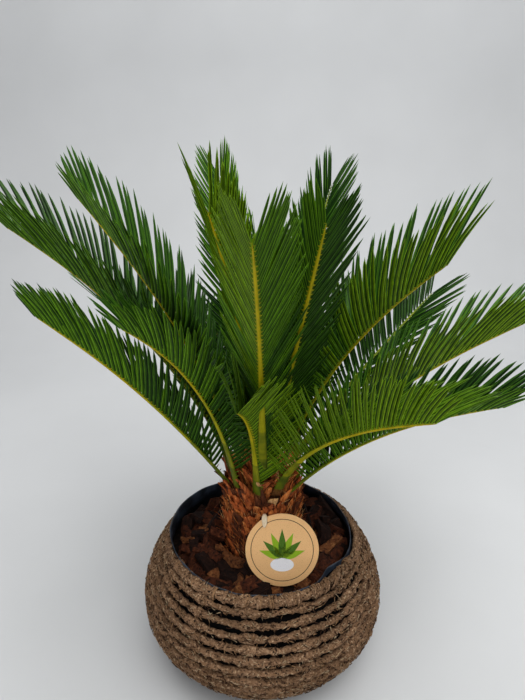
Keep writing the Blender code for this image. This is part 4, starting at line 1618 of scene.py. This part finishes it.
@dataclass
class Trunk:
    """A short trunk clad in old leaf feet, with wool between them."""

    foot_height: float = 0.1123
    neck_height: float = 0.204
    foot_radius: float = 0.037
    widest_radius: float = 0.0405
    neck_radius: float = 0.038
    crown_height: float = 0.2155
    crown_fall: float = 9.0
    scales: int = 330
    crown_scales: int = 150
    hair_count: int = 1150
    crown_seat: tuple[float, float] = (0.010, 0.036)
    scale_width: tuple[float, float] = (0.0030, 0.0058)
    scale_length: tuple[float, float] = (0.014, 0.025)
    scale_thick: tuple[float, float] = (0.0010, 0.0022)
    crown_slim: float = 0.80
    crown_longer: tuple[float, float] = (1.0, 2.1)
    hair: tuple[float, ...] = (0.00042, 0.00036, 0.00024)
    hair_length: tuple[float, float] = (0.006, 0.020)
    seed: int = 8

    def radius(self, height: np.ndarray) -> np.ndarray:
        """The trunk's radius at a height."""
        share = np.clip((self.neck_height - height) / (self.neck_height - self.foot_height), 0, 1)
        ends = self.neck_radius + (self.foot_radius - self.neck_radius) * share
        return ends + (self.widest_radius - ends) * np.sin(np.pi * share)

    def core(self) -> Piece:
        """Models the trunk's body with its bark relief."""
        heights = np.linspace(self.foot_height, self.neck_height, 26)
        profile = [(float(self.radius(h)) - 0.002, float(h)) for h in heights]
        for radius in (0.034, 0.028, 0.020, 0.010):
            profile.append((radius, self.crown_height - self.crown_fall * radius**2 - 0.002))
        core = turned("trunk_body", profile, 120, True)
        displace(core, (0.006, 0.004), (0.0025, 0.002))
        bpy.ops.object.shade_smooth()
        return core

    def clad(self, rng: np.random.RandomState) -> Piece:
        """Lays the scales round the trunk and its crown.

        Args:
            rng: The seeded random numbers.

        Returns:
            The new piece.
        """
        blank, faces = block()
        blank[:, 1] = (blank[:, 1] + 1) / 2
        low, high = self.foot_height + 0.004, self.neck_height
        side_count, count = self.scales, self.scales + self.crown_scales
        order = (np.arange(side_count) + 0.5) / side_count
        necks = np.full(self.crown_scales, self.neck_height)
        height = np.concatenate([low + (high - low) * order, necks])
        angle = np.arange(count) * GOLDEN_ANGLE + rng.normal(0, 0.06, count)
        radius = self.radius(height) - 0.0015
        crown = np.arange(count) >= side_count
        seat = rng.uniform(*self.crown_seat, count)
        radius = np.where(crown, seat, radius)
        height = np.where(crown, self.crown_height - self.crown_fall * seat**2 - 0.006, height)
        width = rng.uniform(*self.scale_width, count) * np.where(crown, self.crown_slim, 1.0)
        length = rng.uniform(*self.scale_length, count)
        length = length * np.where(crown, rng.uniform(*self.crown_longer, count), 1.0)
        thick = rng.uniform(*self.scale_thick, count)
        rise = np.clip((height - low) / (high - low), 0, 1)
        lean = np.radians(rng.uniform(0, 14, count) + 16 * rise**2 * rng.uniform(0, 1, count))
        curl = rng.uniform(-0.15, 0.45, count) * (0.4 + 0.6 * rise)
        yaw = rng.normal(0, 0.30, count)
        out, around = compass(angle)
        along = unit(
            times(UP[None], np.cos(lean)) + times(out, np.sin(lean)) + times(around, np.sin(yaw))
        )
        across = unit(np.cross(along, out))
        face = np.cross(across, along)
        face = times(face, np.sign(np.einsum("ki,ki->k", face, out)))
        base = times(out, radius) + times(UP[None], height)
        x, y, z = (blank[None, :, i] for i in range(3))
        knots = (0, 0.25, 0.5, 0.75, 1.0)
        pointed = np.interp(y, knots, (0.95, 1.0, 0.80, 0.46, 0.07))
        blunt = np.interp(y, knots, (0.95, 1.15, 1.25, 1.05, 0.45))
        taper = pointed + (blunt - pointed) * rng.uniform(0, 1, (count, 1)) ** 1.5
        body = np.interp(y, (0, 0.3, 0.75, 1.0), (1.0, 1.0, 0.6, 0.25))
        phase = rng.uniform(0, PHASE_RANGE, (count, 3, 1))
        ridges = 0.35 * np.sin(7.0 * x + 2.0 * y + phase[:, 0]) * (z > 0)
        width, length, thick, curl = (v[:, None] for v in (width, length, thick, curl))
        px = width * x * taper * (1 + 0.12 * np.sin(5 * y + phase[:, 1]))
        py = length * y
        pz = thick * (z * body * (1 - 0.55 * x**2) + ridges * body)
        pz = pz + length * curl * 0.5 * y**3 - width * 0.35 * x**2 * taper
        points = base[:, None]
        for direction, step in ((across, px), (along, py), (face, pz)):
            points = points + direction[:, None] * step[:, :, None]
        # Random tone, darker towards the bottom, plus painted light on the right side and painted shade on
        # the left, as the light falls from the right.
        shade = rng.uniform(0, 1, count) + 0.42 * (1 - rise) - 0.16 * np.cos(angle)
        kinds = 3 - np.searchsorted((0.10, 0.42, 0.84), shade)
        return gathered_once("trunk_scales", Tag().behind(points), [faces], kinds)

    def wool(self, rng: np.random.RandomState) -> Piece:
        """Lays fine dry hairs over the scales.

        Args:
            rng: The seeded random numbers.

        Returns:
            The new piece.
        """
        count = self.hair_count
        height = rng.uniform(self.foot_height + 0.01, self.crown_height + 0.002, count)
        angle = rng.uniform(0, 2 * math.pi, count)
        radius = self.radius(height) + rng.uniform(-0.001, 0.003, count)
        top = height > self.neck_height - 0.004
        radius = np.where(top, rng.uniform(0.006, 0.040, count), radius)
        out, around = compass(angle)
        start = times(out, radius) + times(UP[None], height)
        stray = times(out, rng.normal(0.22, 0.22, count))
        run = unit(UP + stray + times(around, rng.normal(0, 0.38, count)))
        bend = times(out, rng.normal(0.1, 0.3, count)) + times(around, rng.normal(0, 0.4, count))
        length = rng.uniform(*self.hair_length, count)
        centres = bowed(start, run, bend, length, np.array([0.0, 0.33, 0.66, 1.0]))
        points, faces = hairs(centres, run, out, np.array([self.hair]))
        kinds = rng.choice(4, count, p=(0.18, 0.38, 0.28, 0.16))
        return gathered_once("trunk_wool", Tag().behind(points), faces, kinds)

    def build(self) -> None:
        """Makes body, scales and wool, in place of the node."""
        husks = dry(
            {
                "husk_dark": ((34, 16, 8), (92, 48, 26), (136, 80, 46)),
                "husk_russet": ((78, 30, 12), (176, 90, 44), (214, 130, 72)),
                "husk_orange": ((112, 48, 18), (212, 124, 62), (238, 170, 104)),
                "husk_straw": ((136, 86, 44), (222, 172, 114), (244, 208, 158)),
            },
            420.0,
            (1, 1, 0.25),
        )
        rng = np.random.RandomState(self.seed)
        core = dress(self.core(), "trunk", husks[0])
        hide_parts("trunk")
        dress(self.clad(rng), "trunk", *husks)
        dress(self.wool(rng), "trunk", *husks)


# -------------------------------------------------------------------- tag


class Ink(IntEnum):
    """The card's printed finishes."""

    BROWN = 0
    LIGHT_GREEN = 1
    GREEN = 2
    WHITE = 3


@dataclass
class Tag:
    """A round kraft card that leans on the trunk, with its wooden peg."""

    radius: float = 0.0375
    thickness: float = 0.0012
    lean: float = math.radians(19.4)
    ring_radius: float = 0.0315
    ring_width: float = 0.0007
    ink: float = 0.00008
    peg_across: float = -0.0180
    peg_half: float = 0.0009
    fan: int = 72
    fan_step: int = 24
    leaf_length: float = 0.0300
    leaf_width: float = 0.0044
    outer_shorter: float = 0.0055
    leaves_down: float = 0.0080
    oval: tuple[float, float] = (0.0120, 0.0070)
    oval_down: float = 0.0150

    def axes(self) -> tuple[np.ndarray, np.ndarray, np.ndarray, np.ndarray]:
        """The card's centre, and its directions across, up and forward."""
        low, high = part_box("tag_card")
        centre = np.array([(low[i] + high[i]) / 2 for i in range(3)])
        upward = np.array([0.0, math.sin(self.lean), math.cos(self.lean)])
        forward = np.array([0.0, -math.cos(self.lean), math.sin(self.lean)])
        return centre, np.array([1.0, 0.0, 0.0]), upward, forward

    def behind(self, points: np.ndarray) -> np.ndarray:
        """Presses points that would cut through the card flat against its back.

        Args:
            points: Points in any array whose last axis is x, y, z.

        Returns:
            The points, moved where they have to be.
        """
        centre, across, upward, forward = self.axes()
        offset = points - centre
        near = np.hypot(offset @ across, offset @ upward) < self.radius + 0.001
        depth = offset @ forward + self.thickness
        return points - forward * (depth * (near & (depth > 0)))[..., None]

    def card(self) -> Piece:
        """Models the card, with softened edges."""
        centre = self.axes()[0]
        deselect()
        bpy.ops.mesh.primitive_cylinder_add(
            vertices=120,
            radius=self.radius,
            depth=self.thickness,
            location=tuple(centre),
            rotation=(math.pi / 2 - self.lean, 0, 0),
        )
        card = bpy.context.active_object
        card.name = "tag_card_board"
        bpy.ops.object.transform_apply(location=True, rotation=True, scale=True)
        modify(card, "BEVEL", width=0.0002, segments=2, limit_method="ANGLE")
        bpy.ops.object.shade_smooth_by_angle(angle=math.radians(40))
        return card

    def flat(self, outline: np.ndarray, gathered: Gathered, ink: Ink) -> None:
        """Adds a flat printed shape on the card's face.

        Args:
            outline: Its corners in the card's plane, (corners, 2), turning left.
            gathered: What it is added to.
            ink: Its finish.
        """
        centre, across, upward, forward = self.axes()
        level = self.thickness / 2 - self.ink
        plane = centre + across * outline[:, 0:1] + upward * outline[:, 1:2]
        back, front = plane + forward * level, plane + forward * (level + 2 * self.ink)
        count = len(outline)
        start = np.arange(count)
        after = (start + 1) % count
        sides = np.stack([start, after, after + count, start + count], 1)
        points = np.concatenate([back, front])[None]
        ends = np.stack([start[::-1], start + count])
        gathered.add(points, [sides, ends], [np.array([ink]), np.array([ink])])

    def print(self) -> Piece:
        """Models the printed ring and a plain rosette of leaves over an oval."""
        gathered = Gathered()
        steps = 96
        for i in range(steps):
            a, b = (2 * math.pi * value / steps for value in (i, i + 1))
            inner, outer = self.ring_radius, self.ring_radius + self.ring_width
            corners = [(inner, a), (outer, a), (outer, b), (inner, b)]
            outline = np.array([(r * math.cos(t), r * math.sin(t)) for r, t in corners])
            self.flat(outline, gathered, Ink.BROWN)
        around = np.linspace(0, 2 * math.pi, 40)[:-1]
        wide, tall = self.oval
        oval = [(wide * math.cos(t), -self.oval_down + tall * math.sin(t)) for t in around]
        self.flat(np.array(oval), gathered, Ink.WHITE)
        for number, degrees in enumerate(range(-self.fan, self.fan + 1, self.fan_step)):
            turn = math.radians(degrees)
            length = self.leaf_length - self.outer_shorter * abs(degrees) / self.fan
            u = np.linspace(0, 1, 12)
            edge = self.leaf_width * np.sin(np.pi * u**0.8) * (1 - 0.3 * u)
            left = np.stack([-edge, u * length], 1)
            right = np.stack([edge[1:-1], u[1:-1] * length], 1)[::-1]
            leaf = np.concatenate([left, right])[::-1]
            x, y = rotated(leaf[:, 0], leaf[:, 1], -turn)
            ink = (Ink.LIGHT_GREEN, Ink.GREEN)[number % 2]
            self.flat(np.stack([x, y - self.leaves_down], 1), gathered, ink)
        return gathered.build("tag_print", smooth=False)

    def peg(self) -> Piece:
        """Models the peg: a flat stick hooked over the card's edge."""
        centre, across, upward, forward = self.axes()
        edge = math.sqrt(self.radius**2 - (abs(self.peg_across) - 0.00275) ** 2)
        slot = self.thickness / 2 + 0.0003
        front, back, foot = slot + self.peg_half, -slot - self.peg_half, -self.radius
        path = [
            (front, edge - 0.0105, 0.0008), (front, edge - 0.0088, 0.0019),
            (front, edge - 0.0050, 0.0028), (slot + 0.0008, edge - 0.0010, 0.0029),
            (slot + 0.0001, edge + 0.0014, 0.0022), (0.0, edge + 0.0022, 0.0018),
            (-slot - 0.0001, edge + 0.0016, 0.0018), (back, edge, 0.0020),
            (back, edge - 0.010, 0.0020), (back, 0.0, 0.0020), (back, foot, 0.0019),
            (back, foot - 0.006, 0.0012), (back, foot - 0.0088, 0.0004),
        ]
        start = centre + across * self.peg_across
        centres = np.array([start + forward * f + upward * u for f, u, _ in path])
        run = unit(np.gradient(centres, axis=0))
        wide = times(across[None], np.array([half for *_, half in path]))
        tall = unit(np.cross(run, across)) * self.peg_half
        octagon = np.array([(math.cos(t), math.sin(t)) for t in np.arange(8) * math.pi / 4])
        octagon[:, 0] = np.sign(octagon[:, 0]) * np.abs(octagon[:, 0]) ** 0.6
        points, faces = swept(centres[None], wide[None, :-1], tall[None, :-1], octagon)
        return gathered_once("tag_peg_wood", points, faces, np.array([0]))

    def build(self) -> None:
        """Makes card, print and peg, in place of the nodes."""
        board = PaperFinish("kraft_board", rgb(238, 190, 134), rgb(212, 162, 108)).build()
        inks = [
            PaperFinish(f"ink_{ink.name.lower()}", rgb(*body), rgb(*fleck)).build()
            for ink, body, fleck in (
                (Ink.BROWN, (72, 50, 34), (58, 40, 28)),
                (Ink.LIGHT_GREEN, (140, 176, 36), (122, 158, 34)),
                (Ink.GREEN, (74, 112, 30), (60, 96, 28)),
                (Ink.WHITE, (240, 240, 246), (222, 222, 230)),
            )
        ]
        card = dress(self.card(), "card", board)
        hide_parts("tag_card")
        dress(self.print(), "card", *inks)
        wood = FibreFinish(
            "peg_wood", rgb(240, 206, 168), rgb(255, 236, 204), rgb(255, 244, 222), 300.0, (6, 1, 1),
            relief=0.0001, roughness=0.6,
        ).build()
        peg = dress(self.peg(), "peg", wood)
        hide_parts("tag_peg")


# ----------------------------------------------------------------- studio


@dataclass(frozen=True)
class Lamp:
    """A soft area light: where it hangs, the point it faces, its side in metres and its watts."""

    name: str
    place: Triple
    aim: Triple
    size: float
    power: float
    colour: Colour

    def build(self) -> None:
        """Adds the light."""
        lamp = bpy.data.lights.new(self.name, "AREA")
        lamp.size = self.size
        lamp.energy = self.power
        lamp.color = self.colour
        holder = bpy.data.objects.new(self.name, lamp)
        holder.location = self.place
        way = Vector(self.aim) - Vector(self.place)
        holder.rotation_euler = way.to_track_quat("-Z", "Y").to_euler()
        bpy.context.scene.collection.objects.link(holder)


@dataclass
class Studio:
    """The pale floor, soft light from above and the camera of the photograph."""

    camera_place: Triple = (0.0, -0.505, 0.556)
    camera_pitch: float = 68.8
    lens: float = 28.286
    sweep_back: float = 1.6
    floor_middle: float = -0.7
    floor_size: tuple[float, float] = (9.0, 4.6)
    sweep_radius: float = 0.8
    backdrop: float = 4.0
    air: Colour = (0.94, 0.97, 1.0)
    air_strength: float = 0.12
    lamps: tuple[Lamp, ...] = (
        Lamp("overhead", (0.35, -0.45, 2.2), (0, 0.1, 0.2), 2.3, 68.0, (1.0, 0.99, 0.96)),
        Lamp("front_fill", (-0.9, -1.8, 1.1), (0, 0, 0.2), 1.4, 12.0, (1.0, 0.98, 0.96)),
        Lamp("backdrop_wash", (0, 0.6, 2.6), (0, 1.9, 0.9), 2.4, 5.5, (0.96, 0.98, 1.0)),
    )

    def select_back(self, floor: Piece) -> None:
        """Selects the edge at the floor's back, in edit mode."""
        bpy.ops.mesh.select_all(action="DESELECT")
        shape = bmesh.from_edit_mesh(floor.data)
        for edge in shape.edges:
            places = [vert.co for vert in edge.verts]
            edge.select_set(all(co.y > self.sweep_back - 0.1 and co.z < 0.01 for co in places))
        bmesh.update_edit_mesh(floor.data)

    def floor(self) -> None:
        """Models a floor that sweeps up into a backdrop."""
        deselect()
        bpy.ops.mesh.primitive_plane_add(size=1, location=(0, self.floor_middle, 0))
        floor = bpy.context.active_object
        floor.name = "studio_floor"
        floor.scale = (*self.floor_size, 1.0)
        bpy.ops.object.transform_apply(location=True, rotation=False, scale=True)
        bpy.ops.object.mode_set(mode="EDIT")
        bpy.ops.mesh.select_mode(type="EDGE")
        self.select_back(floor)
        bpy.ops.mesh.extrude_edges_move(TRANSFORM_OT_translate={"value": (0, 0, self.backdrop)})
        self.select_back(floor)
        bpy.ops.mesh.bevel(offset=self.sweep_radius, segments=16)
        bpy.ops.object.mode_set(mode="OBJECT")
        bpy.ops.object.shade_smooth()
        finish = StudioFinish("studio", rgb(196, 198, 201), rgb(202, 204, 207)).build()
        floor.data.materials.append(finish)

    def camera(self) -> None:
        """Adds the camera at the photograph's place and angle."""
        data = bpy.data.cameras.new("camera")
        data.lens = self.lens
        data.sensor_width = 36.0
        data.sensor_fit = "AUTO"
        data.clip_start = 0.01
        holder = bpy.data.objects.new("camera", data)
        holder.location = self.camera_place
        holder.rotation_euler = (math.radians(self.camera_pitch), 0, 0)
        bpy.context.scene.collection.objects.link(holder)
        bpy.context.scene.camera = holder

    def build(self) -> None:
        """Sets floor, light and camera."""
        self.camera()
        self.floor()
        world = bpy.data.worlds.new("studio_air")
        world.use_nodes = True
        air = world.node_tree.nodes["Background"]
        air.inputs["Color"].default_value = (*self.air, 1)
        air.inputs["Strength"].default_value = self.air_strength
        bpy.context.scene.world = world
        for lamp in self.lamps:
            lamp.build()
        bpy.context.scene.view_settings.view_transform = "Standard"


def soil_finish() -> None:
    """Dresses the soil node, which stays as it is."""
    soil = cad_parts["soil"]
    soil.data.materials.clear()
    soil.data.materials.append(*dry({"soil": ((20, 14, 10), (44, 30, 22), (70, 52, 40))}, 300.0))


def main() -> None:
    """Builds every sub-assembly in turn."""
    logging.basicConfig(level=logging.INFO, format="%(message)s")
    Studio().build()
    Basket().build()
    Liner().build()
    Mulch().build()
    soil_finish()
    Trunk().build()
    Foliage().build()
    Tag().build()


if __name__ == "__main__":
    main()
